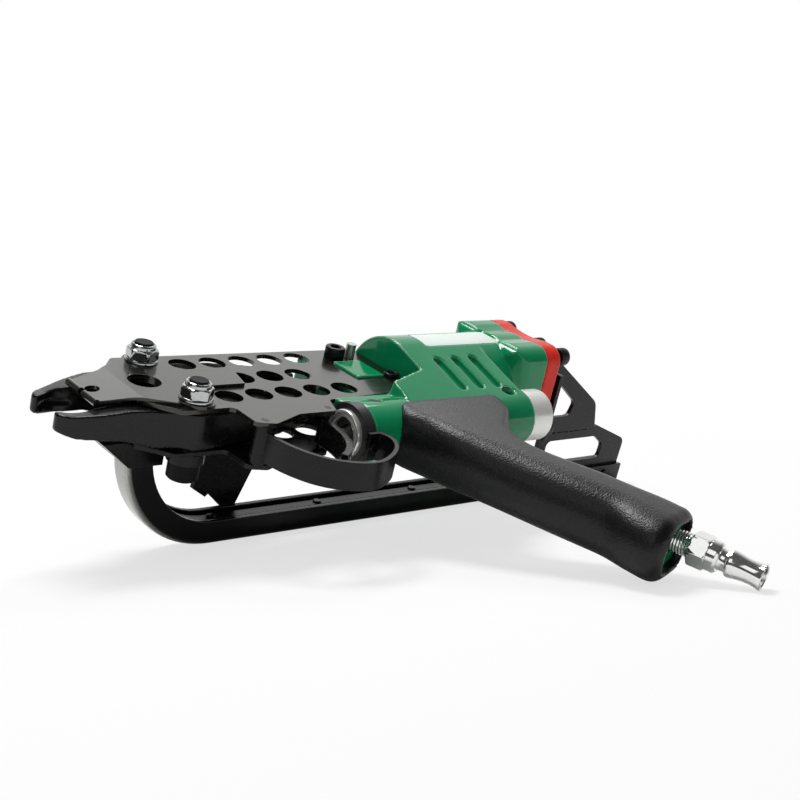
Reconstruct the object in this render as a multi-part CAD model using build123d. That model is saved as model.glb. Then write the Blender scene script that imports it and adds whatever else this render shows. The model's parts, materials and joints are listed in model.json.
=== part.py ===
from build123d import *
import math
import os

# Pneumatic hog ring plier lying on its magazine rail and grip.
# Working frame: +X to the rear, -Y towards the grip, +Z out of the upper head plate.
# The working plane z = 0 holds the jaw tips, the piston axis and the valve axis.

# Fits
running_fit = 0.05
tight_fit = 0.02
seat_gap = 0.3

# Head plates
plate_gap = 18.0
plate_thickness = 2.0
plate_front_x = -43.0
plate_nose_half = 17.0
shoulder_x = -31.0
plate_half_width = 30.5
plate_rear_half = 26.5
plate_corner = 3.0
hole_radius = 6.5
hole_pitch = 16.5
hole_row_y = 19.0
outer_row_count = 5
middle_row_x = 19.7
middle_row_count = 4
lobe_front_x = -5.0
lobe_tip_x = 1.0
lobe_tip_y = -50.0
lobe_flat_x = 22.0
lobe_flat_y = -42.5
lobe_rear_x = 43.0
lobe_notch_x = 48.0

# Nose cover on the upper plate
cover_thickness = 1.5
cover_front_x = -61.0
cover_front_half = 12.0
cover_neck_x = -46.0
cover_neck_half = 15.5
cover_wide_x = -30.0
cover_wide_half = 25.5
cover_tail_x = 15.0
cover_tail_half = 9.5
cover_tail_slant = 5.0
cover_hole_x = -32.0
cover_hole_radius = 7.5
nose_drop = 2.7
bead_radius = 1.6
notch_half = 1.4
notch_hole_radius = 3.2
notch_set_back = 3.6

# Jaws, pivots and rollers
pivot_x = -20.0
pivot_y = 22.5
jaw_thickness = 17.0
jaw_tip_thickness = 10.0
jaw_tip_round = 2.0
jaw_tip_x = -79.0
jaw_tip_y = 7.5
mouth_x = -66.5
mouth_radius = 12.0
ring_groove_radius = 1.3
jaw_swing = 6.5
jaw_full_top_x = -50.0
jaw_belly_front_x = -52.5
jaw_belly_rear_x = -38.5
jaw_boss_radius = 8.5
pivot_sleeve_radius = 6.0
pivot_bolt_radius = 4.0
nut_flats = 13.0
nut_height = 7.5
nut_flange_radius = 7.8
nut_flange_height = 1.6
bolt_head_radius = 7.2
bolt_head_height = 8.5
washer_radius = 8.4
washer_thickness = 5.0
roller_x = 50.0
roller_y = 9.0
roller_radius = 7.0
roller_width = 8.0
roller_pin_radius = 2.5
fork_gap = 9.0
tail_end_radius = 6.0
tail_bulge_at = (18.0, 22.0)
tail_bulge_radius = 4.0

# Piston, rod and wedge
stroke = 24.0
wedge_thickness = 10.0
wedge_nose_x = 49.0
wedge_back_x = 84.0
wedge_block_length = 10.0
rod_radius = 5.5
rod_thread_radius = 4.0
piston_length = 14.0
piston_front_x = 182.0
seal_groove_depth = 3.0
seal_width = 4.0
rod_nut_flats = 13.0
rod_nut_height = 5.0
bushing_radius = 10.0
spring_wire = 3.0
spring_radius = 16.0

# Housing casting
barrel_front_x = 108.0
barrel_rear_x = 197.0
barrel_radius = 26.5
barrel_bore = 20.0
front_wall = 10.0
cap_side = 54.0
boss_radius = 9.0
boss_front_x = 172.0
boss_side_round = 13.0
boss_top_round = 8.0
cap_dip = 1.5
cap_dip_radius = 60.0
boss_hole_depth = 16.0
lug_front_x = 72.0
lug_half_width = 25.0
lug_slot_half = 14.5
lug_slot_height = 12.0
lug_slot_floor = 4.0
pad_set_back = 9.0
pad_length = 17.0
pad_half = 10.0
pad_rise = 1.2
valve_y = -44.0
valve_tube_radius = 14.0
valve_bore = 10.0
valve_front_x = 56.0
valve_rear_x = 161.5
wall_rear_x = 160.0
shoulder_top = 12.0
shoulder_front_x = 51.0
shoulder_width = 6.0
wing_front_x = 85.0
wing_slope = 2.0
wing_root_y = -24.0
wing_tip_y = -31.6
louvre_count = 3
louvre_first_x = 124.2
louvre_pitch = 12.0
louvre_width = 5.4
louvre_depth = 3.4
louvre_high_y = -16.0
louvre_low_y = -40.5
label_front_x = 125.0
label_rear_x = 178.5
label_half = 8.0
label_depth = 1.7
label_corner = 3.0
label_thickness = 0.5

# Plate screws and locating pin
plate_screw_radius = 3.0
plate_screw_head_radius = 5.0
plate_screw_depth = 2.4
plate_screw_far = (88.0, 17.0)
plate_screw_far_head = 6.0
plate_screw_mid_y = -9.5
plate_screw_mid_head = 2.0
plate_screw_mid_head_radius = 4.0
locating_pin_radius = 2.5
locating_pin_rise = 7.0
locating_pin_depth = 4.0
locating_pin_at = (98.0, 17.0)

# Rear cap
cap_length = 13.0
cap_chamfer = 3.5
cap_recess_radius = 12.0
cap_recess_depth = 6.5
cap_screw_offset = 20.5
cap_screw_radius = 2.5
cap_screw_head_radius = 4.8
cap_screw_head_height = 6.0
vent_screw_at = (-3.5, 21.0)
vent_screw_radius = 2.0
vent_screw_head_radius = 3.8
vent_screw_depth = 5.0
cap_ring_radius = 22.2
cap_ring_width = 1.5
cap_ring_depth = 2.0

# Valve
sleeve_front_x = 50.0
sleeve_spigot = 14.0
bezel_radius = 11.2
bezel_bore = 7.5
bezel_length = 2.5
stem_tip_x = 41.35
stem_tip_radius = 2.2
stem_tip_length = 11.0
stem_radius = 4.0
stem_rear_x = 132.0
land_length = 7.0
land_front_x = 86.0
valve_spring_wire = 1.2
plug_head_radius = 13.0
plug_head_length = 15.0
plug_spigot = 12.0
set_screw_radius = 3.0
set_screw_depth = 3.5
set_screw_sink = 1.9
set_screw_flare = 0.9
set_screw_places = ((68.0, -39.0), (152.0, -43.5))

# Grip
grip_x = 83.5
grip_rake = 17.3
grip_length = 143.0
grip_width = 36.0
grip_depth = 30.5
grip_top_width = 74.0
grip_top_shift = 20.0
grip_top_corner = 6.0
grip_top_y = -47.0
grip_corner = 13.0
grip_heel = 2.5
grip_end_round = 6.0
core_width = 28.0
core_depth = 22.0
core_corner = 8.0
core_recess = 5.0
air_way_radius = 5.0

# Air plug
plug_offset = 7.0
plug_thread_radius = 5.5
plug_thread_length = 14.0
plug_stand_off = 3.0
plug_hex_flats = 14.0
plug_hex_length = 8.2
plug_hex_turn = 30.0
plug_collar_radius = 7.1
plug_collar_length = 5.0
plug_neck_radius = 5.0
plug_neck_length = 3.9
plug_nose_radius = 6.0
plug_nose_length = 15.9
plug_bore = 3.75

# Trigger and guard
trigger_pin_x = 41.0
trigger_pin_y = -38.5
trigger_pin_radius = 1.6
trigger_hub_radius = 3.0
trigger_width = 12.0
trigger_blade = 3.0
trigger_length = 36.5
trigger_sweep = 18.0
guard_pin_x = 0.8
guard_pin_y = -45.5
guard_pin_radius = 1.8
guard_eye_radius = 4.0
guard_strip = 2.0
guard_height = 13.0
guard_low_y = -85.5
guard_rear_x = 57.5
guard_screw_radius = 1.5
guard_screw_head_radius = 2.2
guard_screw_x = 52.4

# Magazine
foot_depth = 6.0
foot_front_x = -55.0
foot_rear_x = -8.0
foot_half = 12.0
rail_front_x = -38.5
rail_low_z = -71.0
rail_height = 12.8
rail_width = 14.4
rail_wall = 2.2
rail_floor = 3.0
rail_corner = 4.0
rail_bend = 54.0
rail_rear_x = 312.0
bar_width = 5.0
bar_height = 8.5
rivet_first_x = 18.0
rivet_pitch = 64.4
rivet_count = 4
rivet_radius = 2.2
rivet_shank_radius = 1.4
rivet_rise = 1.0
stay_side = 30.0
stay_x = 27.0
stay_z = -38.0
stay_thickness = 2.5
stay_neck_half = 11.0
stay_flange = 13.0
stay_screw_radius = 2.0
stay_screw_head_radius = 3.6
pusher_length = 26.0
pusher_rest_gap = 3.0
pusher_wall = 1.6
pusher_clearance = 0.35
pusher_knob_rise = 5.0

# Rear bracket
bracket_thickness = 2.5
bracket_y = -12.0
bracket_upper_rear_x = 270.5
bracket_upper_low_z = -29.0
bracket_flange_top_z = 12.0
bracket_flange_low_z = -26.0
bracket_joggle_low_z = -34.0
bracket_lower_front_x = 234.0
bracket_lower_rear_x = 312.5
bracket_window_round = 3.5
bracket_corner = 9.0
bracket_heel_corner = 5.0

STAND = (Align.CENTER, Align.CENTER, Align.MIN)

# Planes shared by several pieces
plate_inner = plate_gap / 2
plate_outer = plate_inner + plate_thickness
cover_top = plate_outer + cover_thickness
plate_rear_x = barrel_front_x - seat_gap
lug_slot_rear_x = barrel_front_x - lug_slot_floor
pad_rear_x = barrel_front_x - pad_set_back
pad_front_x = pad_rear_x - pad_length
plate_screw_mid = (barrel_front_x - seat_gap - plate_screw_mid_head_radius, plate_screw_mid_y)
cap_rear_x = barrel_rear_x + cap_length
piston_rear_x = piston_front_x + piston_length
bore_front_x = barrel_front_x + front_wall
rail_bend_x = rail_front_x + rail_bend
rail_bend_z = rail_low_z + rail_bend
rail_top_z = rail_low_z + rail_height
channel_floor = rail_low_z + rail_floor
label_level = barrel_radius - label_depth
pusher_x = bracket_lower_front_x - pusher_rest_gap - pusher_length / 2


def rod_x(radius, start, end, y=0.0, z=0.0):
    return Pos(start, y, z) * Rot(Y=90) * Cylinder(radius, end - start, align=STAND)


def rod_z(radius, low, high, x, y):
    return Pos(x, y, low) * Cylinder(radius, high - low, align=STAND)


def face_of(points):
    return make_face(Polyline(*points, close=True))


def rounded(points, radius):
    flat = face_of(points)
    return fillet(flat.vertices(), radius)


def round_one(flat, corner, radius):
    vertex = flat.vertices().sort_by_distance(Vector(*corner))[0]
    return fillet(vertex, radius)


def slab(flat, low, high):
    return extrude(Pos(0, 0, low) * flat, high - low)


def side_slab(flat, y_low, y_high):
    return extrude(Plane.XZ.offset(-y_high) * flat, y_high - y_low)


def cross_slab(flat, x_low, x_high):
    return extrude(Plane.YZ.offset(x_low) * flat, x_high - x_low)


def block(x_low, x_high, y_low, y_high, z_low, z_high):
    size = Box(x_high - x_low, y_high - y_low, z_high - z_low, align=Align.MIN)
    return Pos(x_low, y_low, z_low) * size


def across(solid):
    return mirror(solid, Plane.XZ)


def below(solid):
    return mirror(solid, Plane.XY)


# Head plates: pierced steel sheets that carry the jaw pivots and the trigger
def plate_face():
    points = [
        (plate_front_x, -plate_nose_half),
        (plate_front_x, plate_nose_half),
        (shoulder_x, plate_half_width),
        (plate_rear_x, plate_rear_half),
        (plate_rear_x, -plate_rear_half),
        (lobe_notch_x, -plate_half_width),
        (lobe_rear_x, lobe_flat_y),
        (lobe_flat_x, lobe_flat_y),
        (lobe_tip_x + plate_corner, lobe_tip_y),
        (lobe_front_x, lobe_tip_y + plate_corner),
        (lobe_front_x, -plate_half_width),
        (shoulder_x, -plate_half_width),
    ]
    flat = rounded(points, plate_corner)
    holes = [Pos(cover_hole_x, 0) * Circle(cover_hole_radius)]
    for k in range(outer_row_count):
        holes.append(Pos(k * hole_pitch, hole_row_y) * Circle(hole_radius))
        holes.append(Pos(k * hole_pitch, -hole_row_y) * Circle(hole_radius))
    for k in range(middle_row_count - 1):
        holes.append(Pos(middle_row_x + k * hole_pitch, 0) * Circle(hole_radius))
    for side in (1, -1):
        holes.append(Pos(pivot_x, side * pivot_y) * Circle(pivot_bolt_radius + running_fit))
    holes.append(Pos(trigger_pin_x, trigger_pin_y) * Circle(trigger_pin_radius + tight_fit))
    holes.append(Pos(guard_pin_x, guard_pin_y) * Circle(guard_pin_radius + tight_fit))
    pad_window = Rectangle(
        pad_rear_x - pad_front_x + 2 * seat_gap,
        2 * (pad_half + seat_gap),
    )
    holes.append(Pos((pad_front_x + pad_rear_x) / 2, 0) * pad_window)
    for at in (plate_screw_far, plate_screw_mid):
        holes.append(Pos(*at) * Circle(plate_screw_radius + running_fit))
    holes.append(Pos(*locating_pin_at) * Circle(locating_pin_radius + tight_fit))
    return flat - holes


def make_plates():
    top = slab(plate_face(), plate_inner, plate_outer)
    return top, below(top)


# Nose cover: thin sheet over the pivots, bent down at the front and rolled into a bead
def make_nose_cover():
    half = [
        (cover_front_x, cover_front_half),
        (cover_neck_x, cover_neck_half),
        (cover_wide_x, cover_wide_half),
        (pivot_x, pivot_y),
        (pivot_x + cover_neck_half, cover_tail_half),
    ]
    tail_end_x = cover_tail_x + cover_tail_slant
    points = half + [(tail_end_x, cover_tail_half), (cover_tail_x, -cover_tail_half)]
    points += [(x, -y) for x, y in reversed(half)]
    flat = face_of(points)
    flat += Pos(pivot_x, pivot_y) * Circle(nut_flange_radius + 1)
    flat += Pos(pivot_x, -pivot_y) * Circle(nut_flange_radius + 1)
    flat -= Pos(cover_hole_x, 0) * Circle(cover_hole_radius)
    for side in (1, -1):
        flat -= Pos(pivot_x, side * pivot_y) * Circle(pivot_bolt_radius + running_fit)
    nose_top = cover_top - nose_drop
    side_view = [
        (tail_end_x, plate_outer),
        (tail_end_x, cover_top),
        (plate_front_x, cover_top),
        (cover_front_x, nose_top),
        (cover_front_x, nose_top - cover_thickness),
        (plate_front_x, plate_outer),
    ]
    bent = side_slab(face_of(side_view), -2 * cover_wide_half, 2 * cover_wide_half)
    sheet = slab(flat, 0, 2 * cover_top) & bent
    bead_at = Pos(cover_front_x - bead_radius / 2, cover_front_half, nose_top - bead_radius / 2)
    bead = bead_at * Rot(X=90) * Cylinder(bead_radius, 2 * cover_front_half, align=STAND)
    hole_x = cover_front_x + notch_set_back
    notch = block(cover_front_x - 2 * bead_radius, hole_x, -notch_half, notch_half, 0, 2 * cover_top)
    notch += rod_z(notch_hole_radius, 0, 2 * cover_top, hole_x, 0)
    return sheet + bead - notch


# Jaws: forged levers that hook round the ring at the nose and carry a roller at the tail
def jaw_arm():
    reach = pivot_x - jaw_tip_x
    breadth = pivot_y + jaw_boss_radius - jaw_tip_y
    shape = (
        (0.0, 0.128), (0.042, 0.277), (0.144, 0.396), (0.254, 0.498),
        (0.424, 0.596), (0.619, 0.668), (0.83, 0.83), (1.0, 1.0),
    )
    outer = [(jaw_tip_x + along * reach, jaw_tip_y + out * breadth) for along, out in shape]
    inner = [
        outer[-1],
        (pivot_x, pivot_y - jaw_boss_radius),
        (mouth_x + 2 * mouth_radius, mouth_radius),
        (mouth_x - 5, mouth_radius * 0.9),
        (jaw_tip_x + 0.6, jaw_tip_y),
        outer[0],
    ]
    flat = make_face(Spline(*outer) + Polyline(*inner))
    boss = Pos(pivot_x, pivot_y) * Circle(jaw_boss_radius)
    bulge = Pos(*tail_bulge_at) * Circle(tail_bulge_radius)
    tail = Pos(roller_x, roller_y) * Circle(tail_end_radius)
    flat += make_hull(boss.edges() + bulge.edges() + tail.edges())
    return flat


def make_far_jaw():
    body = slab(jaw_arm(), -jaw_thickness / 2, jaw_thickness / 2)
    tip = jaw_tip_thickness / 2
    root = jaw_thickness / 2
    side_view = [
        (jaw_tip_x - 1, tip),
        (jaw_tip_x + mouth_radius / 2, tip),
        (jaw_full_top_x, root),
        (roller_x + 2 * tail_end_radius, root),
        (roller_x + 2 * tail_end_radius, -root),
        (jaw_belly_rear_x, -root),
        (jaw_belly_front_x, -tip),
        (mouth_x - 5, -tip),
        (jaw_tip_x - 1, -tip / 2),
    ]
    view = face_of(side_view)
    view = round_one(view, side_view[7], 2 * jaw_tip_round)
    view = round_one(view, side_view[8], jaw_tip_round)
    view = round_one(view, side_view[5], 2 * jaw_tip_round)
    body &= side_slab(view, -2 * mouth_radius, 4 * mouth_radius)
    body -= rod_z(mouth_radius, -jaw_thickness, jaw_thickness, mouth_x, 0)
    body -= Pos(mouth_x, 0, 0) * Torus(mouth_radius, ring_groove_radius)
    body -= rod_z(pivot_sleeve_radius + running_fit, -jaw_thickness, jaw_thickness, pivot_x, pivot_y)
    slot_front = roller_x - roller_radius - 1
    slot_rear = roller_x + roller_radius + 1
    slot = block(
        slot_front, slot_rear, roller_y - 2 * roller_radius, roller_y + 2 * roller_radius,
        -fork_gap / 2, fork_gap / 2,
    )
    body -= slot
    body -= rod_z(roller_pin_radius + tight_fit, -jaw_thickness, jaw_thickness, roller_x, roller_y)
    return body


def make_roller():
    ring = Cylinder(roller_radius, roller_width) - Cylinder(roller_pin_radius + running_fit, roller_width)
    return Pos(roller_x, roller_y, 0) * ring


def make_roller_pin():
    return rod_z(roller_pin_radius, -jaw_thickness / 2, jaw_thickness / 2, roller_x, roller_y)


# Pivot hardware: spacer sleeves, through bolts, washers and flanged lock nuts
def both_pivots(piece):
    return Compound(children=[Pos(0, 0, 0) * piece, across(piece)])


def make_pivot_sleeve():
    tube = rod_z(pivot_sleeve_radius, -plate_inner, plate_inner, pivot_x, pivot_y)
    return tube - rod_z(pivot_bolt_radius + running_fit, -plate_inner, plate_inner, pivot_x, pivot_y)


def make_pivot_washer():
    low = -plate_outer - washer_thickness
    ring = rod_z(washer_radius, low, -plate_outer, pivot_x, pivot_y)
    return ring - rod_z(pivot_bolt_radius + running_fit, low, -plate_outer, pivot_x, pivot_y)


def make_pivot_bolt():
    head_top = -plate_outer - washer_thickness
    head_low = head_top - bolt_head_height
    nut_top = cover_top + nut_flange_height + nut_height
    bolt = rod_z(bolt_head_radius, head_low, head_top, pivot_x, pivot_y)
    bolt = chamfer(bolt.edges().group_by(Axis.Z)[0], 0.8)
    bolt += rod_z(pivot_bolt_radius, head_top, nut_top, pivot_x, pivot_y)
    socket = Pos(pivot_x, pivot_y, head_low) * RegularPolygon(pivot_bolt_radius, 6)
    return bolt - extrude(socket, bolt_head_height / 2)


def make_pivot_nut():
    flange_top = cover_top + nut_flange_height
    hex_top = flange_top + nut_height * 0.7
    collar_top = flange_top + nut_height
    flats = RegularPolygon(nut_flats / 2, 6, major_radius=False)
    nut = extrude(Pos(pivot_x, pivot_y, flange_top) * flats, hex_top - flange_top)
    dome = Pos(pivot_x, pivot_y, hex_top) * Cone(
        nut_flats / 2, nut_flats / 2 - 1.2, collar_top - hex_top, align=STAND
    )
    flange = Pos(pivot_x, pivot_y, cover_top) * Cone(
        nut_flange_radius, nut_flats / 2 + 0.6, nut_flange_height, align=STAND
    )
    nut = nut + dome + flange
    return nut - rod_z(pivot_bolt_radius + tight_fit, cover_top, collar_top, pivot_x, pivot_y)


# Wedge: its flanks spread the two rollers by the jaw swing over one stroke
def wedge_slope():
    arm_x = roller_x - pivot_x
    arm_y = roller_y - pivot_y
    turn = math.radians(jaw_swing)
    end_x = arm_x * math.cos(turn) - arm_y * math.sin(turn)
    end_y = arm_x * math.sin(turn) + arm_y * math.cos(turn)
    return (end_y - arm_y) / (stroke + end_x - arm_x)


def flank_y(x):
    slope = wedge_slope()
    stand_off = (roller_radius + seat_gap) * math.hypot(1, slope)
    return roller_y - stand_off + slope * (x - roller_x)


def make_wedge():
    block_rear = wedge_back_x + wedge_block_length
    half = [
        (wedge_nose_x, flank_y(wedge_nose_x)),
        (wedge_back_x, flank_y(wedge_back_x)),
        (block_rear, flank_y(wedge_back_x)),
    ]
    points = half + [(x, -y) for x, y in reversed(half)]
    wedge = slab(face_of(points), -wedge_thickness / 2, wedge_thickness / 2)
    return wedge - rod_x(rod_thread_radius + tight_fit, wedge_back_x, block_rear)


def make_piston_rod():
    block_rear = wedge_back_x + wedge_block_length
    rod = rod_x(rod_radius, block_rear, piston_front_x)
    rod += rod_x(rod_thread_radius, wedge_back_x, block_rear)
    return rod + rod_x(rod_thread_radius, piston_front_x, piston_rear_x + rod_nut_height)


def make_piston():
    disc = rod_x(barrel_bore - running_fit, piston_front_x, piston_rear_x)
    middle = (piston_front_x + piston_rear_x) / 2
    groove = rod_x(barrel_bore, middle - seal_width / 2, middle + seal_width / 2)
    groove -= rod_x(barrel_bore - seal_groove_depth, middle - seal_width / 2, middle + seal_width / 2)
    return disc - groove - rod_x(rod_thread_radius + tight_fit, piston_front_x, piston_rear_x)


def make_piston_seal():
    middle = (piston_front_x + piston_rear_x) / 2
    ring = rod_x(barrel_bore - running_fit, middle - seal_width / 2, middle + seal_width / 2)
    return ring - rod_x(barrel_bore - seal_groove_depth, middle - seal_width / 2, middle + seal_width / 2)


def make_rod_nut():
    flats = RegularPolygon(rod_nut_flats / 2, 6, major_radius=False)
    nut = cross_slab(flats, piston_rear_x, piston_rear_x + rod_nut_height)
    return nut - rod_x(rod_thread_radius + tight_fit, piston_rear_x, piston_rear_x + rod_nut_height)


def make_return_spring():
    outer = spring_radius + spring_wire / 2
    inner = spring_radius - spring_wire / 2
    return rod_x(outer, bore_front_x, piston_front_x) - rod_x(inner, bore_front_x, piston_front_x)


def make_rod_bushing():
    tube = rod_x(bushing_radius, barrel_front_x, bore_front_x)
    return tube - rod_x(rod_radius + running_fit, barrel_front_x, bore_front_x)


# Housing: one casting with the barrel, the fork for the plates, the valve tube and the grip core
def grip_direction():
    rake = math.radians(grip_rake)
    return Vector(math.sin(rake), -math.cos(rake), 0)


def grip_plane(distance, shift=0.0):
    rake = math.radians(grip_rake)
    wide = Vector(math.cos(rake), math.sin(rake), 0)
    origin = Vector(grip_x, valve_y, 0) + grip_direction() * distance + wide * shift
    return Plane(origin=origin, x_dir=wide, z_dir=grip_direction())


def cap_face():
    flat = RectangleRounded(cap_side, cap_side, boss_radius)
    lift = cap_side / 2 + cap_dip_radius - cap_dip
    return flat - [Pos(0, lift) * Circle(cap_dip_radius), Pos(0, -lift) * Circle(cap_dip_radius)]


def casting_face():
    barrel = Circle(barrel_radius)
    tube = Pos(valve_y, 0) * Circle(valve_tube_radius)
    return make_hull(barrel.edges() + tube.edges())


def make_louvre(index):
    at = Pos(louvre_first_x + index * louvre_pitch, (louvre_high_y + louvre_low_y) / 2)
    slot = at * Rot(Z=90) * SlotOverall(louvre_high_y - louvre_low_y, louvre_width)
    keep = cross_slab(offset(casting_face(), -louvre_depth), barrel_front_x, wall_rear_x)
    return slab(slot, 0, 2 * barrel_radius) - keep


# Square rear end of the casting with its four screw bosses, rounded towards the barrel
def make_rear_block():
    half = cap_side / 2
    length = barrel_rear_x - boss_front_x
    middle = (barrel_rear_x + boss_front_x) / 2
    views = []
    for radius in (boss_side_round, boss_top_round):
        view = Pos(middle, 0) * Rectangle(length, cap_side)
        views.append(fillet(view.vertices().group_by(Axis.X)[0], radius))
    square = cross_slab(cap_face(), boss_front_x, barrel_rear_x)
    return square & slab(views[0], -half, half) & side_slab(views[1], -half, half)


# Wing of the wall that runs forward beside the plates and slopes down to the shoulder
def make_wing():
    tip_x = wing_front_x - wing_slope
    outline = face_of([
        (barrel_front_x, wing_root_y),
        (tip_x, wing_tip_y),
        (tip_x, 2 * valve_y),
        (barrel_front_x, 2 * valve_y),
    ])
    side_view = face_of([
        (tip_x, 0),
        (tip_x, shoulder_top),
        (wing_front_x + wing_slope, 2 * shoulder_top),
        (barrel_front_x, 2 * shoulder_top),
        (barrel_front_x, 0),
    ])
    wing = cross_slab(casting_face(), tip_x, barrel_front_x)
    wing &= slab(outline, 0, barrel_radius)
    wing &= side_slab(side_view, 2 * valve_y, 0)
    return wing - block(tip_x, barrel_front_x, -plate_half_width - seat_gap, 0, 0, plate_outer)


def make_housing():
    body = cross_slab(casting_face(), barrel_front_x, wall_rear_x)
    body += rod_x(barrel_radius, barrel_front_x, barrel_rear_x)
    body += make_rear_block()
    body += rod_x(valve_tube_radius, valve_front_x, valve_rear_x, valve_y)
    # Fork between the plates, with pads that locate them
    body += block(
        lug_front_x, barrel_front_x, -lug_half_width, lug_half_width, -plate_inner, plate_inner
    )
    pad_level = plate_outer + pad_rise
    body += block(pad_front_x, pad_rear_x, -pad_half, pad_half, -pad_level, pad_level)
    # Shoulder beside the plates, from the fork to the valve tube
    shoulder_y = -plate_half_width - seat_gap
    body += block(
        valve_front_x, barrel_front_x, valve_y, shoulder_y, -shoulder_top, shoulder_top
    )
    body += block(
        shoulder_front_x, barrel_front_x, shoulder_y - shoulder_width, shoulder_y, -shoulder_top, shoulder_top
    ) - rod_x(valve_tube_radius + seat_gap, 0, valve_front_x, valve_y)
    body += block(
        lug_front_x, barrel_front_x, -plate_half_width - 1, -lug_half_width, -plate_inner, plate_inner
    )
    body += make_wing()
    core = extrude(grip_plane(0) * RectangleRounded(core_width, core_depth, core_corner),
                   grip_length - core_recess)
    body += core
    # Working bores
    body -= rod_x(barrel_bore, bore_front_x, barrel_rear_x)
    body -= rod_x(bushing_radius + tight_fit, barrel_front_x, bore_front_x)
    body -= rod_x(rod_radius + 2 * seat_gap, lug_slot_rear_x, barrel_front_x)
    body -= block(
        lug_front_x, lug_slot_rear_x, -lug_slot_half, lug_slot_half, -lug_slot_height / 2, lug_slot_height / 2
    )
    body -= rod_x(valve_bore, valve_front_x, valve_rear_x, valve_y)
    air_way = extrude(grip_plane(valve_bore / 2, plug_offset) * Circle(air_way_radius), grip_length)
    body -= air_way
    thread_start = grip_length - core_recess - plug_thread_length
    thread_hole = grip_plane(thread_start, plug_offset) * Circle(plug_thread_radius + tight_fit)
    body -= extrude(thread_hole, 2 * plug_thread_length)
    # Screw holes
    for y, z in cap_screw_places():
        hole_end = barrel_rear_x - boss_hole_depth
        body -= rod_x(cap_screw_radius + running_fit, hole_end, barrel_rear_x, y, z)
    for at in (plate_screw_far, plate_screw_mid):
        hole = rod_z(plate_screw_radius + running_fit, plate_inner - plate_screw_depth, plate_inner, *at)
        body -= hole
        body -= below(hole)
    body -= rod_z(
        locating_pin_radius + tight_fit, plate_inner - locating_pin_depth, plate_inner, *locating_pin_at
    )
    for x, y in set_screw_places:
        floor = valve_tube_radius - set_screw_depth
        body -= rod_z(set_screw_radius + tight_fit, floor, 2 * valve_tube_radius, x, y)
        flare = Cone(set_screw_radius, set_screw_radius + 2 * set_screw_flare, 2 * set_screw_flare)
        body -= Pos(x, y, valve_tube_radius) * flare
    # Cooling louvres and the flat for the label
    for k in range(louvre_count):
        body -= make_louvre(k)
    body -= block(
        label_front_x, label_rear_x, -label_half, label_half, label_level, 2 * barrel_radius
    )
    return body


# Label plate: thin blank sheet on the flat
def make_label_plate():
    length = label_rear_x - label_front_x - 2 * seat_gap
    flat = RectangleRounded(length, 2 * label_half - 2 * seat_gap, label_corner)
    middle = (label_front_x + label_rear_x) / 2
    return slab(Pos(middle, 0) * flat, label_level, label_level + label_thickness)


# Rear cap and its hardware
def cap_screw_places():
    return [(y * cap_screw_offset, z * cap_screw_offset) for y in (1, -1) for z in (1, -1)]


def make_end_cap():
    cap = cross_slab(cap_face(), barrel_rear_x, cap_rear_x)
    cap = chamfer(cap.faces().sort_by(Axis.X)[-1].edges(), cap_chamfer)
    cap -= rod_x(cap_recess_radius, barrel_rear_x, barrel_rear_x + cap_recess_depth)
    groove = rod_x(cap_ring_radius, barrel_rear_x, barrel_rear_x + cap_ring_depth)
    groove -= rod_x(cap_ring_radius - cap_ring_width, barrel_rear_x, barrel_rear_x + cap_ring_depth)
    cap -= groove
    for y, z in cap_screw_places():
        cap -= rod_x(cap_screw_radius + running_fit, barrel_rear_x, cap_rear_x, y, z)
    return cap - rod_x(
        vent_screw_radius + running_fit, cap_rear_x - vent_screw_depth, cap_rear_x, *vent_screw_at
    )


def make_cap_ring():
    ring = rod_x(cap_ring_radius, barrel_rear_x, barrel_rear_x + cap_ring_depth)
    return ring - rod_x(cap_ring_radius - cap_ring_width, barrel_rear_x, barrel_rear_x + cap_ring_depth)


def make_cap_screws():
    screws = []
    for y, z in cap_screw_places():
        seat = cap_rear_x + (bracket_thickness if y < 0 and z < 0 else 0)
        head_end = seat + cap_screw_head_height
        screw = rod_x(cap_screw_head_radius, seat, head_end, y, z)
        screw += rod_x(cap_screw_radius, barrel_rear_x - boss_hole_depth, seat, y, z)
        socket = Pos(y, z) * RegularPolygon(cap_screw_radius, 6)
        screws.append(screw - cross_slab(socket, seat + cap_screw_head_height / 2, head_end))
    vent = rod_x(vent_screw_radius, cap_rear_x - vent_screw_depth, cap_rear_x, *vent_screw_at)
    head_end = cap_rear_x + cap_screw_head_height
    screws.append(vent + rod_x(vent_screw_head_radius, cap_rear_x, head_end, *vent_screw_at))
    return Compound(children=screws)


# Plate hardware
def make_plate_screws():
    screws = []
    kinds = (
        (plate_screw_far, plate_screw_far_head, plate_screw_head_radius),
        (plate_screw_mid, plate_screw_mid_head, plate_screw_mid_head_radius),
    )
    for (x, y), head, radius in kinds:
        screw = rod_z(radius, plate_outer, plate_outer + head, x, y)
        screw += rod_z(plate_screw_radius, plate_inner - plate_screw_depth, plate_outer, x, y)
        socket = Pos(x, y, plate_outer + head / 2) * RegularPolygon(plate_screw_radius, 6)
        screw -= extrude(socket, head)
        screws.append(screw)
        screws.append(below(screw))
    return Compound(children=screws)


def make_locating_pin():
    low = plate_inner - locating_pin_depth
    return rod_z(locating_pin_radius, low, plate_outer + locating_pin_rise, *locating_pin_at)


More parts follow.
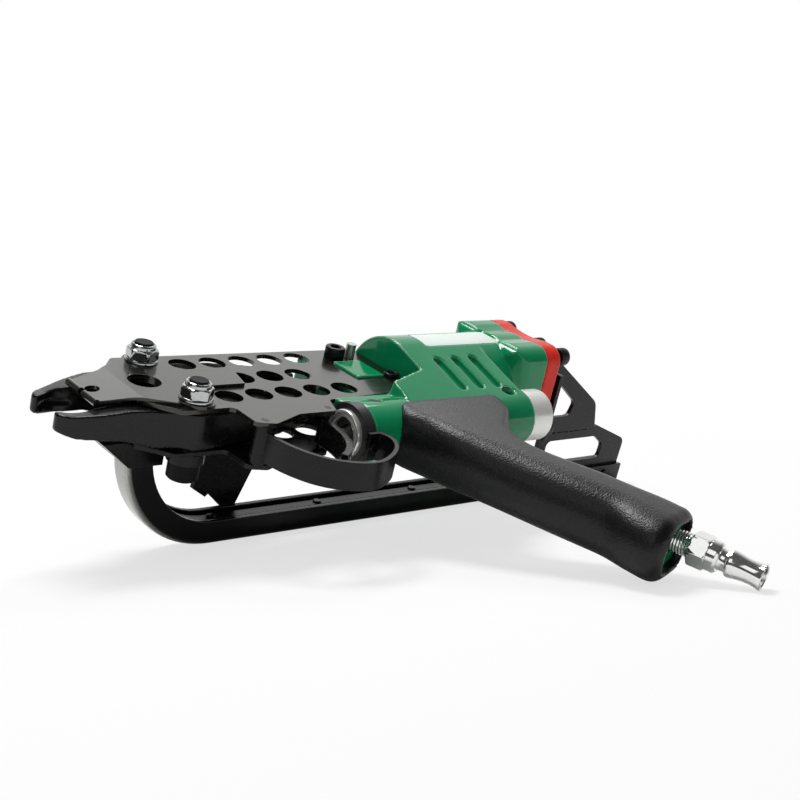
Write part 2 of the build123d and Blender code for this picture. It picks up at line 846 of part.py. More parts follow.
# Valve: black guide sleeve, bright bezel, sliding stem, spring and rear plug
def make_valve_sleeve():
    sleeve = rod_x(valve_tube_radius, sleeve_front_x, valve_front_x, valve_y)
    sleeve += rod_x(valve_bore - tight_fit, valve_front_x, valve_front_x + sleeve_spigot, valve_y)
    sleeve -= rod_x(stem_radius + running_fit, sleeve_front_x, valve_front_x + sleeve_spigot, valve_y)
    hole_low = valve_y - valve_tube_radius
    hole = Pos(guard_screw_x, hole_low, 0) * Rot(X=-90) * Cylinder(
        guard_screw_radius + tight_fit, valve_tube_radius / 2, align=STAND
    )
    return sleeve - hole


def make_valve_bezel():
    ring = rod_x(bezel_radius, sleeve_front_x - bezel_length, sleeve_front_x, valve_y)
    ring = chamfer(ring.edges().group_by(Axis.X)[0], bezel_length / 3)
    return ring - rod_x(bezel_bore, sleeve_front_x - bezel_length, sleeve_front_x, valve_y)


def make_valve_stem():
    stem = rod_x(stem_tip_radius, stem_tip_x + stem_tip_radius, stem_tip_x + stem_tip_length, valve_y)
    stem += Pos(stem_tip_x + stem_tip_radius, valve_y, 0) * Sphere(stem_tip_radius)
    stem += rod_x(stem_radius, stem_tip_x + stem_tip_length, stem_rear_x, valve_y)
    stem += rod_x(valve_bore - running_fit, land_front_x, land_front_x + land_length, valve_y)
    return stem + rod_x(valve_bore - running_fit, stem_rear_x - land_length, stem_rear_x, valve_y)


def make_valve_spring():
    rear = valve_rear_x - plug_spigot
    outer = valve_bore - 1
    tube = rod_x(outer, stem_rear_x, rear, valve_y)
    return tube - rod_x(outer - valve_spring_wire, stem_rear_x, rear, valve_y)


def make_valve_plug():
    plug = rod_x(plug_head_radius, valve_rear_x, valve_rear_x + plug_head_length, valve_y)
    plug = chamfer(plug.edges().group_by(Axis.X)[-1], 1.0)
    return plug + rod_x(valve_bore - tight_fit, valve_rear_x - plug_spigot, valve_rear_x, valve_y)


def make_set_screws():
    screws = []
    floor = valve_tube_radius - set_screw_depth
    top = valve_tube_radius - set_screw_sink
    for x, y in set_screw_places:
        screw = rod_z(set_screw_radius, floor, top, x, y)
        socket = Pos(x, y, (floor + top) / 2) * RegularPolygon(set_screw_radius / 2, 6)
        screws.append(screw - extrude(socket, set_screw_depth))
    return Compound(children=screws)


# Rubber grip sleeve over the core
def make_grip():
    sections = (
        (0.014, grip_top_width, grip_top_shift, grip_top_corner),
        (0.126, grip_top_width * 0.973, grip_top_shift * 0.975, grip_top_corner * 1.2),
        (0.2, grip_top_width * 0.903, grip_top_shift * 0.83, grip_top_corner * 1.4),
        (0.25, grip_top_width * 0.773, grip_top_shift * 0.57, grip_top_corner * 1.6),
        (0.3, grip_top_width * 0.603, grip_top_shift * 0.235, grip_corner * 0.9),
        (0.36, grip_width * 1.055, grip_top_shift * 0.05, grip_corner),
        (0.685, grip_width, 0.0, grip_corner),
        (0.797, grip_width, 0.0, grip_corner),
        (0.916, grip_width + grip_heel, -grip_heel / 2, grip_corner),
        (1.0, grip_width + grip_heel, -grip_heel / 2, grip_corner),
    )
    faces = [
        grip_plane(share * grip_length, shift) * RectangleRounded(width, grip_depth, corner)
        for share, width, shift, corner in sections
    ]
    grip = loft(faces)
    end_face = grip.faces().sort_by(Axis(grip_plane(0).origin, grip_direction()))[-1]
    grip = fillet(end_face.edges(), grip_end_round)
    reach = grip_length * 2
    grip -= block(-reach, reach, grip_top_y, reach, -reach, reach)
    grip -= rod_x(valve_tube_radius + running_fit, 0, reach, valve_y)
    hollow = RectangleRounded(
        core_width + 2 * tight_fit, core_depth + 2 * tight_fit, core_corner + tight_fit
    )
    return grip - extrude(grip_plane(-valve_bore) * hollow, reach)


# Air plug: threaded root, hexagon, collar and nipple, bored through
def make_air_plug():
    start = grip_length - core_recess - plug_thread_length
    lengths = (
        (plug_thread_radius, plug_thread_length + core_recess + plug_stand_off),
        (None, plug_hex_length),
        (plug_collar_radius, plug_collar_length),
        (plug_neck_radius, plug_neck_length),
        (plug_nose_radius, plug_nose_length),
    )
    hexagon = RegularPolygon(plug_hex_flats / 2, 6, major_radius=False, rotation=plug_hex_turn)
    plug = None
    along = start
    for radius, length in lengths:
        flat = Circle(radius) if radius else hexagon
        piece = extrude(grip_plane(along, plug_offset) * flat, length)
        plug = piece if plug is None else plug + piece
        along += length
    return plug - extrude(grip_plane(start, plug_offset) * Circle(plug_bore), along - start)


# Trigger lever, its pin, and the strip guard round it
def make_trigger():
    shape = ((0.083, 0.055), (0.128, 0.342), (0.278, 0.603), (0.611, 0.849), (1.0, 1.0))
    points = [
        (trigger_pin_x - forward * trigger_sweep, trigger_pin_y - down * trigger_length)
        for forward, down in shape
    ]
    curve = Spline(*points)
    blade = slab(trace(curve, trigger_blade), -trigger_width / 2, trigger_width / 2)
    hub = rod_z(trigger_hub_radius, -trigger_width / 2, trigger_width / 2, trigger_pin_x, trigger_pin_y)
    lever = blade + hub
    return lever - rod_z(
        trigger_pin_radius + running_fit, -trigger_width, trigger_width, trigger_pin_x, trigger_pin_y
    )


def make_trigger_pin():
    return rod_z(trigger_pin_radius, -plate_outer, plate_outer, trigger_pin_x, trigger_pin_y)


def make_guard():
    span = guard_rear_x - guard_pin_x
    drop = guard_pin_y - guard_low_y
    shape = (
        (0.0, 0.0), (0.065, 0.512), (0.198, 0.8), (0.412, 0.975),
        (0.588, 1.0), (0.762, 0.9), (0.921, 0.725), (1.0, 0.538),
    )
    points = [(guard_pin_x + back * span, guard_pin_y - down * drop) for back, down in shape]
    points.append((guard_rear_x - 0.026 * span, valve_y - valve_tube_radius - guard_strip / 2))
    path = Spline(*points)
    strip = slab(trace(path, guard_strip), -guard_height / 2, guard_height / 2)
    low = valve_y - valve_tube_radius - guard_strip
    tab = block(
        sleeve_front_x, valve_front_x, low, low + guard_strip, -guard_height / 2, guard_height / 2
    )
    eye = rod_z(guard_eye_radius, -plate_inner, plate_inner, guard_pin_x, guard_pin_y)
    guard = strip + tab + eye
    guard -= rod_z(guard_pin_radius + tight_fit, -plate_inner, plate_inner, guard_pin_x, guard_pin_y)
    guard -= rod_x(valve_tube_radius + tight_fit, sleeve_front_x, valve_front_x, valve_y)
    hole = Pos(guard_screw_x, low, 0) * Rot(X=-90) * Cylinder(
        guard_screw_radius + tight_fit, 2 * guard_strip, align=STAND
    )
    return guard - hole


def make_guard_pin():
    return rod_z(guard_pin_radius, -plate_outer, plate_outer, guard_pin_x, guard_pin_y)


def make_guard_screw():
    low = valve_y - valve_tube_radius - guard_strip
    turn = Rot(X=-90)
    head = Pos(guard_screw_x, low - guard_strip, 0) * turn * Cylinder(
        guard_screw_head_radius, guard_strip, align=STAND
    )
    shank = Cylinder(guard_screw_radius, valve_tube_radius / 2, align=STAND)
    return head + Pos(guard_screw_x, low, 0) * turn * shank


# Magazine rail: a channel that drops from the foot, bends and runs back under the tool
def channel_face(filled=False):
    half = rail_width / 2
    points = [(-half, rail_top_z), (-half, rail_low_z), (half, rail_low_z), (half, rail_top_z)]
    flat = face_of(points)
    low_corners = flat.vertices().group_by(Axis.Y)[0]
    flat = fillet(low_corners, rail_corner)
    if filled:
        return flat
    hollow = Pos(0, rail_top_z) * Rectangle(
        rail_width - 2 * rail_wall, 2 * (rail_height - rail_floor)
    )
    return flat - hollow


def bar_face():
    return Pos(0, channel_floor + bar_height / 2) * Rectangle(bar_width, bar_height)


def along_rail(flat, rear_x):
    run = cross_slab(flat, rail_bend_x, rear_x)
    axis = Axis((rail_bend_x, 0, rail_bend_z), (0, 1, 0))
    section = Plane.YZ.offset(rail_bend_x) * flat
    bend = revolve(section, axis, 90)
    leg_start = bend.faces().sort_by(Axis.Z)[-1]
    leg = extrude(leg_start, -plate_outer - rail_bend_z, dir=(0, 0, 1))
    return run + bend + leg


def make_rail():
    rail = along_rail(channel_face(), rail_rear_x)
    for x in rivet_places():
        rail -= rod_z(rivet_shank_radius + tight_fit, rail_low_z + rail_floor / 3, rail_top_z, x, 0)
    for x in bracket_rivet_places():
        rail -= bracket_rivet_hole(x)
    return rail


def rivet_places():
    return [rivet_first_x + k * rivet_pitch for k in range(rivet_count)]


def make_guide_bar():
    bar = along_rail(bar_face(), rail_rear_x)
    for x in rivet_places():
        bar -= rod_z(rivet_shank_radius + tight_fit, rail_low_z, rail_top_z, x, 0)
    for x in bracket_rivet_places():
        bar -= bracket_rivet_hole(x)
    return bar


def make_rivets():
    bar_top = channel_floor + bar_height
    rivets = []
    for x in rivet_places():
        head = rod_z(rivet_radius, bar_top, bar_top + rivet_rise, x, 0)
        head = chamfer(head.edges().group_by(Axis.Z)[-1], rivet_rise / 2)
        rivets.append(head + rod_z(rivet_shank_radius, rail_low_z + rail_floor / 3, bar_top, x, 0))
    return Compound(children=rivets)


def make_foot():
    top = -plate_outer
    points = [
        (foot_front_x, top),
        (foot_rear_x, top),
        (foot_rear_x, top - foot_depth),
        (rail_front_x + rail_height + rail_wall, top - foot_depth),
        (rail_front_x + rail_height + rail_wall, top - 2 * foot_depth),
        (rail_front_x - rail_wall, top - 2 * foot_depth),
    ]
    foot = side_slab(face_of(points), -foot_half, foot_half)
    return foot - along_rail(channel_face(filled=True), rail_bend_x + 1)


# Stay between the lower plate and the far wall of the rail
def make_stay():
    y_low = rail_width / 2
    y_high = y_low + stay_thickness
    span = stay_side / math.sqrt(2)
    shape = (
        (0.0, 1.0), (0.8, 0.0), (0.425, -1.04), (0.425, -1.3), (0.12, -1.3), (0.12, -1.04),
        (-0.35, -0.62), (-0.43, -0.69), (-0.8, -0.45), (-0.77, -0.28), (-1.0, 0.0),
    )
    outline = face_of([(stay_x + right * span, stay_z + up * span) for right, up in shape])
    neck_top = -plate_outer
    neck = Pos(stay_x, (stay_z + neck_top) / 2) * Rectangle(2 * stay_neck_half, neck_top - stay_z)
    web = side_slab(outline + neck, y_low, y_high)
    flange = block(
        stay_x - stay_neck_half, stay_x + stay_neck_half, y_low, y_low + stay_flange,
        neck_top - stay_thickness, neck_top,
    )
    stay = web + flange
    for x in stay_screw_places():
        stay -= rod_z(stay_screw_radius + tight_fit, -2 * plate_outer, 0, x, stay_screw_y())
    return stay


def stay_screw_places():
    return (stay_x - stay_neck_half / 2, stay_x + stay_neck_half / 2)


def stay_screw_y():
    return rail_width / 2 + stay_thickness + stay_flange / 2 - 1


def make_stay_screws():
    seat = -plate_outer - stay_thickness
    screws = []
    for x in stay_screw_places():
        head = rod_z(stay_screw_head_radius, seat - stay_thickness, seat, x, stay_screw_y())
        screws.append(head + rod_z(stay_screw_radius, seat, -plate_outer, x, stay_screw_y()))
    return Compound(children=screws)


# Ring pusher: a saddle that slides on the guide bar inside the channel
def make_pusher():
    gap = pusher_clearance
    half = bar_width / 2 + gap
    x_low = pusher_x - pusher_length / 2
    x_high = pusher_x + pusher_length / 2
    roof = channel_floor + bar_height + rivet_rise + gap
    saddle = block(
        x_low, x_high, -half - pusher_wall, half + pusher_wall, channel_floor + gap, roof + pusher_wall
    )
    saddle -= block(x_low, x_high, -half, half, rail_low_z, roof)
    knob = block(
        x_high - 3 * pusher_wall, x_high, -half - pusher_wall, half + pusher_wall,
        roof, roof + pusher_knob_rise,
    )
    return saddle + knob


# Rear bracket: folded sheet from the cap to the end of the rail
def make_bracket():
    y_low = bracket_y
    y_high = bracket_y + bracket_thickness
    x_low = cap_rear_x
    flange = block(
        x_low, x_low + bracket_thickness, -cap_side / 2, y_high,
        bracket_flange_low_z, bracket_flange_top_z,
    )
    screw_hole = cap_screw_radius + running_fit
    flange -= rod_x(screw_hole, x_low, x_low + bracket_thickness, -cap_screw_offset, -cap_screw_offset)
    upper_corner = (bracket_upper_rear_x - 5, bracket_upper_low_z + 16)
    upper = [
        (x_low, bracket_flange_top_z),
        (x_low + 9, bracket_flange_top_z + 5.5),
        upper_corner,
        (bracket_upper_rear_x, bracket_upper_low_z),
        (x_low, bracket_upper_low_z),
    ]
    window = [
        (x_low + 6, 5.5),
        (x_low + 13, 5.5),
        (bracket_upper_rear_x - 23.5, bracket_upper_low_z + 17),
        (bracket_upper_rear_x - 26, bracket_upper_low_z + 9),
        (x_low + 6, bracket_upper_low_z + 9),
    ]
    upper_face = round_one(face_of(upper), upper_corner, bracket_corner)
    upper_face -= rounded(window, bracket_window_round)
    plate = side_slab(upper_face, y_low, y_high)
    lower_y = -bar_width / 2 - bracket_thickness
    joggle = [
        (y_low, bracket_upper_low_z),
        (y_high, bracket_upper_low_z),
        (lower_y + bracket_thickness, bracket_joggle_low_z),
        (lower_y, bracket_joggle_low_z),
    ]
    step = cross_slab(face_of(joggle), bracket_lower_front_x, bracket_upper_rear_x)
    lower_corner = (bracket_lower_rear_x - 2, bracket_joggle_low_z - 8.5)
    lower = [
        (bracket_lower_front_x, bracket_joggle_low_z),
        (bracket_upper_rear_x, bracket_joggle_low_z),
        (bracket_lower_rear_x - 29.5, bracket_joggle_low_z + 2),
        lower_corner,
        (bracket_lower_rear_x - 2.5, rail_top_z + 1),
        (rail_rear_x, rail_top_z - 2),
        (rail_rear_x, channel_floor),
        (bracket_lower_front_x, channel_floor),
    ]
    lower_window = [
        (bracket_lower_front_x + 7, bracket_joggle_low_z - 4.5),
        (bracket_lower_rear_x - 30, bracket_joggle_low_z - 4.5),
        (bracket_lower_rear_x - 21, bracket_joggle_low_z - 10.5),
        (bracket_lower_rear_x - 21.5, rail_top_z + 5),
        (bracket_lower_front_x + 7, rail_top_z + 5),
    ]
    lower_face = round_one(face_of(lower), lower_corner, bracket_heel_corner)
    lower_face -= rounded(lower_window, bracket_window_round)
    foot = side_slab(lower_face, lower_y, lower_y + bracket_thickness)
    bracket = flange + plate + step + foot
    for x in bracket_rivet_places():
        bracket -= bracket_rivet_hole(x)
    return bracket


def make_bracket_rivets():
    level = (channel_floor + rail_top_z) / 2
    outer = -rail_width / 2
    rivets = []
    for x in bracket_rivet_places():
        head = Cylinder(rivet_radius, rivet_rise, align=STAND)
        head = Pos(x, outer - rivet_rise, level) * Rot(X=-90) * head
        shank = Pos(x, outer, level) * Rot(X=-90) * Cylinder(
            rivet_shank_radius, bar_width / 2 - outer, align=STAND
        )
        rivets.append(head + shank)
    return Compound(children=rivets)


def bracket_rivet_places():
    return (bracket_lower_front_x + 8, rail_rear_x - 14)


def bracket_rivet_hole(x):
    level = (channel_floor + rail_top_z) / 2
    return Pos(x, -rail_width, level) * Rot(X=-90) * Cylinder(
        rivet_shank_radius + tight_fit, rail_width + bar_width / 2, align=STAND
    )


# Resting pose: the tool is tilted until rail and grip end both touch the ground
def lowest(solids, tilt):
    return min((Rot(X=tilt) * solid).bounding_box().min.Z for solid in solids)


def rest_tilt(rail, handle):
    low, high = 0.0, 45.0
    for _ in range(30):
        middle = (low + high) / 2
        if lowest([rail], middle) < lowest(handle, middle):
            low = middle
        else:
            high = middle
    return (low + high) / 2


def main():
    parts = {}
    parts["top_plate"], parts["bottom_plate"] = make_plates()
    parts["nose_cover"] = make_nose_cover()
    far_jaw = make_far_jaw()
    parts["far_jaw"] = far_jaw
    parts["near_jaw"] = across(far_jaw)
    parts["far_roller"] = make_roller()
    parts["near_roller"] = across(make_roller())
    parts["far_roller_pin"] = make_roller_pin()
    parts["near_roller_pin"] = across(make_roller_pin())
    parts["pivot_sleeves"] = both_pivots(make_pivot_sleeve())
    parts["pivot_washers"] = both_pivots(make_pivot_washer())
    parts["pivot_bolts"] = both_pivots(make_pivot_bolt())
    parts["pivot_lock_nuts"] = both_pivots(make_pivot_nut())
    parts["cam_wedge"] = make_wedge()
    parts["piston_rod"] = make_piston_rod()
    parts["piston"] = make_piston()
    parts["piston_seal"] = make_piston_seal()
    parts["rod_nut"] = make_rod_nut()
    parts["return_spring"] = make_return_spring()
    parts["rod_bushing"] = make_rod_bushing()
    parts["housing"] = make_housing()
    parts["label_plate"] = make_label_plate()
    parts["end_cap"] = make_end_cap()
    parts["cap_seal_ring"] = make_cap_ring()
    parts["cap_screws"] = make_cap_screws()
    parts["plate_screws"] = make_plate_screws()
    parts["locating_pin"] = make_locating_pin()
    parts["valve_sleeve"] = make_valve_sleeve()
    parts["valve_bezel"] = make_valve_bezel()
    parts["valve_stem"] = make_valve_stem()
    parts["valve_spring"] = make_valve_spring()
    parts["valve_plug"] = make_valve_plug()
    parts["set_screws"] = make_set_screws()
    parts["grip_sleeve"] = make_grip()
    parts["air_plug"] = make_air_plug()
    parts["trigger"] = make_trigger()
    parts["trigger_pin"] = make_trigger_pin()
    parts["trigger_guard"] = make_guard()
    parts["guard_pin"] = make_guard_pin()
    parts["guard_screw"] = make_guard_screw()
    parts["magazine_foot"] = make_foot()
    parts["magazine_rail"] = make_rail()
    parts["rail_guide_bar"] = make_guide_bar()
    parts["rail_rivets"] = make_rivets()
    parts["rail_stay"] = make_stay()
    parts["stay_screws"] = make_stay_screws()
    parts["ring_pusher"] = make_pusher()
    parts["rear_bracket"] = make_bracket()
    parts["bracket_rivets"] = make_bracket_rivets()
    tilt = Rot(X=rest_tilt(parts["magazine_rail"], [parts["grip_sleeve"], parts["air_plug"]]))
    boxes = [(tilt * solid).bounding_box() for solid in parts.values()]
    middle_x = (min(b.min.X for b in boxes) + max(b.max.X for b in boxes)) / 2
    middle_y = (min(b.min.Y for b in boxes) + max(b.max.Y for b in boxes)) / 2
    ground = min(b.min.Z for b in boxes)
    os.makedirs("parts", exist_ok=True)
    for name, solid in parts.items():
        export_step(Pos(-middle_x, -middle_y, -ground) * tilt * solid, "parts/" + name + ".step")


main()
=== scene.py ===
import json
import math
from functools import partial
import bmesh
import bpy
from mathutils import Matrix, Vector


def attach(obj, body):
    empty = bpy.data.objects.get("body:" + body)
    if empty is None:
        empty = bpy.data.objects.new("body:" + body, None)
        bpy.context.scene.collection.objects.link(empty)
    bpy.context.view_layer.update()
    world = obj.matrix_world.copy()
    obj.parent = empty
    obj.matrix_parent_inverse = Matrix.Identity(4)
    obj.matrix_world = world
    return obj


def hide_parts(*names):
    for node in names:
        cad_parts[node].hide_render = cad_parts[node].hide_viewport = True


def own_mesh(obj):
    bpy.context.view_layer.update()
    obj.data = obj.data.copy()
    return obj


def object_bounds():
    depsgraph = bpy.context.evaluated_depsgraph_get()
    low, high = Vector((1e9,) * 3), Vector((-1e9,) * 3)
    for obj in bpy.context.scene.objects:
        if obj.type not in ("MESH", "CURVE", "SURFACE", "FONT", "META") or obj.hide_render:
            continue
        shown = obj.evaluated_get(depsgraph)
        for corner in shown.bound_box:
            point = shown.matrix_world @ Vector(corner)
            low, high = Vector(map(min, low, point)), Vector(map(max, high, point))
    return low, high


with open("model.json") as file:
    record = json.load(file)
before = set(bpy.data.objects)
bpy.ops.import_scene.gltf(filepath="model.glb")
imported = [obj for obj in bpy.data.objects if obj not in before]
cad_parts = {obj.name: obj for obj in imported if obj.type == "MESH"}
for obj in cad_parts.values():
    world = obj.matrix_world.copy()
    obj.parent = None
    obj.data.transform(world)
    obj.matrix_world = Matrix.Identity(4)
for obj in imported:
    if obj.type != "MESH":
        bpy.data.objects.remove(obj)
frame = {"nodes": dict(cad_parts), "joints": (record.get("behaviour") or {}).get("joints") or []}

cad_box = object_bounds()


# Head plates, cover and bent strips. Two pierced mild steel sheets, 2 mm thick, carry the jaws between them,
# and a 1.5 mm cover with a rolled bead lies over the pivots. All are punched and bent, and the upper ones are
# stoved in black enamel. The lower plate, guard, stay, foot and rear bracket are only sprayed.
def linear(code):
    """sRGB hex colour as linear red, green, blue and full opacity."""
    parts = [int(code[i:i + 2], 16) / 255 for i in (1, 3, 5)]
    return [c / 12.92 if c <= 0.04045 else ((c + 0.055) / 1.055) ** 2.4 for c in parts] + [1.0]


def add(finish, kind, inputs=None, **settings):
    """Adds a node with its settings, fills or links its inputs, and gives back its outputs."""
    node = finish.node_tree.nodes.new(kind)
    for key, value in settings.items():
        setattr(node, key, value)
    for key, value in (inputs or {}).items():
        if isinstance(value, bpy.types.NodeSocket):
            finish.node_tree.links.new(value, node.inputs[key])
        else:
            node.inputs[key].default_value = value
    return node.outputs


def start_finish(name, sockets):
    finish = bpy.data.materials.new(name)
    finish.use_nodes = True
    shader = finish.node_tree.nodes["Principled BSDF"]
    for key, value in sockets.items():
        shader.inputs[key].default_value = value
    return finish


def join(finish, sockets):
    shader = finish.node_tree.nodes["Principled BSDF"]
    for key, value in sockets.items():
        finish.node_tree.links.new(value, shader.inputs[key])


def dress(finish, *names):
    for name in names:
        for holder in frame["nodes"][name].material_slots:
            holder.material = finish


def rubbed_with_painted_edge_highlight(name, sockets, edge_mm, patch_mm, tones, dulls, peel_mm, peel_strength):
    """Two cloudy dark tones, a third on rounded edges for wear and painted highlight, and a fine bump."""
    finish = start_finish(name, sockets)
    place = add(finish, "ShaderNodeTexCoord")["Object"]
    # The rounded normal turns away from the flat one near an edge, which is where hands and cases rub and
    # where a highlight is painted
    edge = add(finish, "ShaderNodeBevel", {"Radius": edge_mm / 1000}, samples=8)[0]
    flat = add(finish, "ShaderNodeNewGeometry")["Normal"]
    turn = add(finish, "ShaderNodeVectorMath", {0: edge, 1: flat}, operation="DOT_PRODUCT")["Value"]
    edge_wear_and_highlight = add(finish, "ShaderNodeMapRange", {"Value": turn, "From Min": 0.97, "From Max": 0.75})[0]
    patch = add(finish, "ShaderNodeTexNoise", {"Vector": place, "Scale": 1000 / patch_mm, "Detail": 5.0})[0]
    wear_and_painted_highlight = add(finish, "ShaderNodeMath", {0: edge_wear_and_highlight, 1: patch}, operation="MULTIPLY")[0]
    # In a colour mix, socket 0 is the factor and sockets 6 and 7 are the two colours
    cloud = add(finish, "ShaderNodeMix", {0: patch, 6: linear(tones[0]), 7: linear(tones[1])},
                data_type="RGBA")[2]
    # The third tone on the edges is partly wear and partly a painted edge highlight
    shade = add(finish, "ShaderNodeMix", {0: wear_and_painted_highlight, 6: cloud, 7: linear(tones[2])}, data_type="RGBA")[2]
    dull = add(finish, "ShaderNodeMapRange", {"Value": patch, "To Min": dulls[0], "To Max": dulls[1]})[0]
    peel = add(finish, "ShaderNodeTexNoise", {"Vector": place, "Scale": 1000 / peel_mm, "Detail": 2.0})[0]
    bump = add(finish, "ShaderNodeBump",
               {"Height": peel, "Strength": peel_strength, "Distance": 0.0002, "Normal": edge})[0]
    join(finish, {"Base Color": shade, "Roughness": dull, "Normal": bump})
    return finish


# Stoved enamel: nearly black with a clear wet gloss, grey at a low angle, faint orange peel of 0.8 mm,
# handling wear in patches of 4 mm, and lighter edges that are partly steel rubbed through and partly painted
# highlight
enamel = rubbed_with_painted_edge_highlight("stoved_black_enamel",
                {"IOR": 1.5, "Specular Tint": linear("#fbf8ea"), "Coat Weight": 0.5, "Coat Roughness": 0.08},
                edge_mm=0.35, patch_mm=4.0, tones=("#0b0b0a", "#151513", "#5c5c55"), dulls=(0.16, 0.28),
                peel_mm=0.8, peel_strength=0.05)
dress(enamel, "top_plate", "nose_cover")

# Satin paint: darker and flatter than the enamel, dry at a low angle, with a lighter edge tone that is partly
# wear and partly painted highlight
satin_paint = rubbed_with_painted_edge_highlight("satin_black_paint", {"IOR": 1.5, "Specular IOR Level": 0.26},
                     edge_mm=0.4, patch_mm=3.0, tones=("#080808", "#121212", "#5c5c56"), dulls=(0.22, 0.36),
                     peel_mm=0.7, peel_strength=0.06)
dress(satin_paint, "bottom_plate", "trigger_guard", "rail_stay", "magazine_foot", "rear_bracket")


# Jaws and trigger. Drop-forged carbon steel levers, ground on the working faces and chemically blacked.
# The jaws turn on sleeves between the plates, and the trigger on a pin behind the guard.
# Blacked forging: brown-black scale in 4 mm clouds with a low oily sheen, lighter on the edges, partly where
# they have rubbed and partly as a painted highlight
forging = rubbed_with_painted_edge_highlight("blacked_forged_steel",
                 {"IOR": 1.5, "Metallic": 0.2, "Specular IOR Level": 0.28, "Coat Weight": 0.1,
                  "Coat Roughness": 0.12},
                 edge_mm=0.9, patch_mm=4.0, tones=("#090909", "#191817", "#6d6a63"), dulls=(0.18, 0.34),
                 peel_mm=1.2, peel_strength=0.06)
dress(forging, "trigger", "rail_rivets")


def worked_copy(name, node, finish, grid_mm, passes, keep):
    """Copy of a CAD solid in an even mesh, its corners smoothed round, thinned to a share of its faces."""
    piece = bpy.data.objects.new(name, frame["nodes"][node].data.copy())
    bpy.context.scene.collection.objects.link(piece)
    even = piece.modifiers.new("even_mesh", "REMESH")
    even.mode = "VOXEL"
    even.voxel_size = grid_mm / 1000
    soft = piece.modifiers.new("soft_corners", "SMOOTH")
    soft.factor = 0.5
    soft.iterations = passes
    thin = piece.modifiers.new("fewer_faces", "DECIMATE")
    thin.ratio = keep
    worked = piece.evaluated_get(bpy.context.evaluated_depsgraph_get())
    piece.data = bpy.data.meshes.new_from_object(worked)
    piece.modifiers.clear()
    piece.data.shade_smooth()
    piece.data.materials.clear()
    piece.data.materials.append(finish)
    return piece


def stand_for(piece, node, body):
    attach(piece, body)
    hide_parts(node)


# Forging and tumbling leave the jaws' corners about 1.5 mm round
for node, body in (("far_jaw", "far_lever"), ("near_jaw", "near_lever")):
    jaw = worked_copy(node.replace("_jaw", "_forged_jaw"), node, forging, grid_mm=0.5, passes=16, keep=0.6)
    stand_for(jaw, node, body)


# Rollers, sleeves, wedge, rod, locating pin and valve stem. Hardened steel, ground round and held by their
# fits. Most of them lie inside, and the rollers show between the plates.
# Ground steel: bright grey metal with rings left by the wheel, about 0.3 mm apart, drawn at 0.6 mm to show
ground_steel = start_finish("ground_hardened_steel", {"Metallic": 0.8})
place = add(ground_steel, "ShaderNodeTexCoord")["Object"]
streak = add(ground_steel, "ShaderNodeTexNoise", {"Vector": place, "Scale": 1000 / 0.6, "Detail": 3.0})[0]
cloud = add(ground_steel, "ShaderNodeTexNoise", {"Vector": place, "Scale": 1000 / 6.0, "Detail": 2.0})[0]
shade = add(ground_steel, "ShaderNodeMix", {0: cloud, 6: linear("#a3a3a0"), 7: linear("#c9c9c5")},
            data_type="RGBA")[2]
dull = add(ground_steel, "ShaderNodeMapRange", {"Value": streak, "To Min": 0.28, "To Max": 0.45})[0]
bump = add(ground_steel, "ShaderNodeBump", {"Height": streak, "Strength": 0.08, "Distance": 0.0001})[0]
join(ground_steel, {"Base Color": shade, "Roughness": dull, "Normal": bump})
dress(ground_steel, "far_roller", "near_roller", "far_roller_pin", "near_roller_pin", "pivot_sleeves",
      "cam_wedge", "piston_rod", "rod_nut", "locating_pin", "valve_stem")


# Black screws, pins, bolts, washers, rivets, guide bar and ring pusher. Alloy steel, blacked in a hot salt
# bath. The socket heads are cold-formed with a knurled rim and a hexagon recess. They hold plates and cap.
def joint_named(name):
    return next(joint for joint in frame["joints"] if joint["name"] == name)


# The tool's own axes, in millimetres: x along the barrel to the rear, y across to the far side, z up through
# the plates. It lies tilted on the table, and the trigger's pin ties these axes to the frame
pin_in_tool = Vector((41.0, -38.5, 0.0))
trigger_joint = joint_named("trigger_pull")
tilt = Matrix.Rotation(math.atan2(-trigger_joint["axis"][1], trigger_joint["axis"][2]), 4, "X")
tool = Matrix.Translation(trigger_joint["pos_m"]) @ tilt @ Matrix.Scale(0.001, 4)
tool = tool @ Matrix.Translation(-pin_in_tool)
to_tool = tool.inverted()


def skin(mesh, rows, finish_index=0):
    """Quads between closed rows of vertices, each row to the next."""
    for low, high in zip(rows, rows[1:]):
        for k in range(len(low)):
            after = (k + 1) % len(low)
            mesh.faces.new((low[k], low[after], high[after], high[k])).material_index = finish_index


def turned(mesh, seat, rings, flats=0.0, steps=72, finish_index=0):
    """Skin over rings of (along, radius) round the seat's Z axis.

    A radius may be a function of the angle, and a size across flats cuts the rings to a hexagon.
    """
    rows = []
    for along, radius in rings:
        row = []
        for k in range(steps):
            angle = 2 * math.pi * k / steps
            reach = radius(angle) if callable(radius) else radius
            if flats:
                reach = min(reach, flats / 2 / math.cos(angle % (math.pi / 3) - math.pi / 6))
            spot = Vector((reach * math.cos(angle), reach * math.sin(angle), along))
            row.append(mesh.verts.new(seat @ spot))
        rows.append(row)
    skin(mesh, rows, finish_index)


def set_up(name, mesh, body, slot, *finishes, smooth_deg=35.0):
    """Welds a mesh drawn in the tool's millimetres and puts it on its body."""
    weld_mm = 0.002
    bmesh.ops.remove_doubles(mesh, verts=mesh.verts, dist=weld_mm)
    bmesh.ops.recalc_face_normals(mesh, faces=mesh.faces)
    data = bpy.data.meshes.new(name)
    mesh.to_mesh(data)
    mesh.free()
    data.transform(tool)
    for finish in finishes:
        data.materials.append(finish)
    data.shade_smooth()
    data.set_sharp_from_angle(angle=math.radians(smooth_deg))
    piece = bpy.data.objects.new(name, data)
    bpy.context.scene.collection.objects.link(piece)
    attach(piece, body)
    return piece
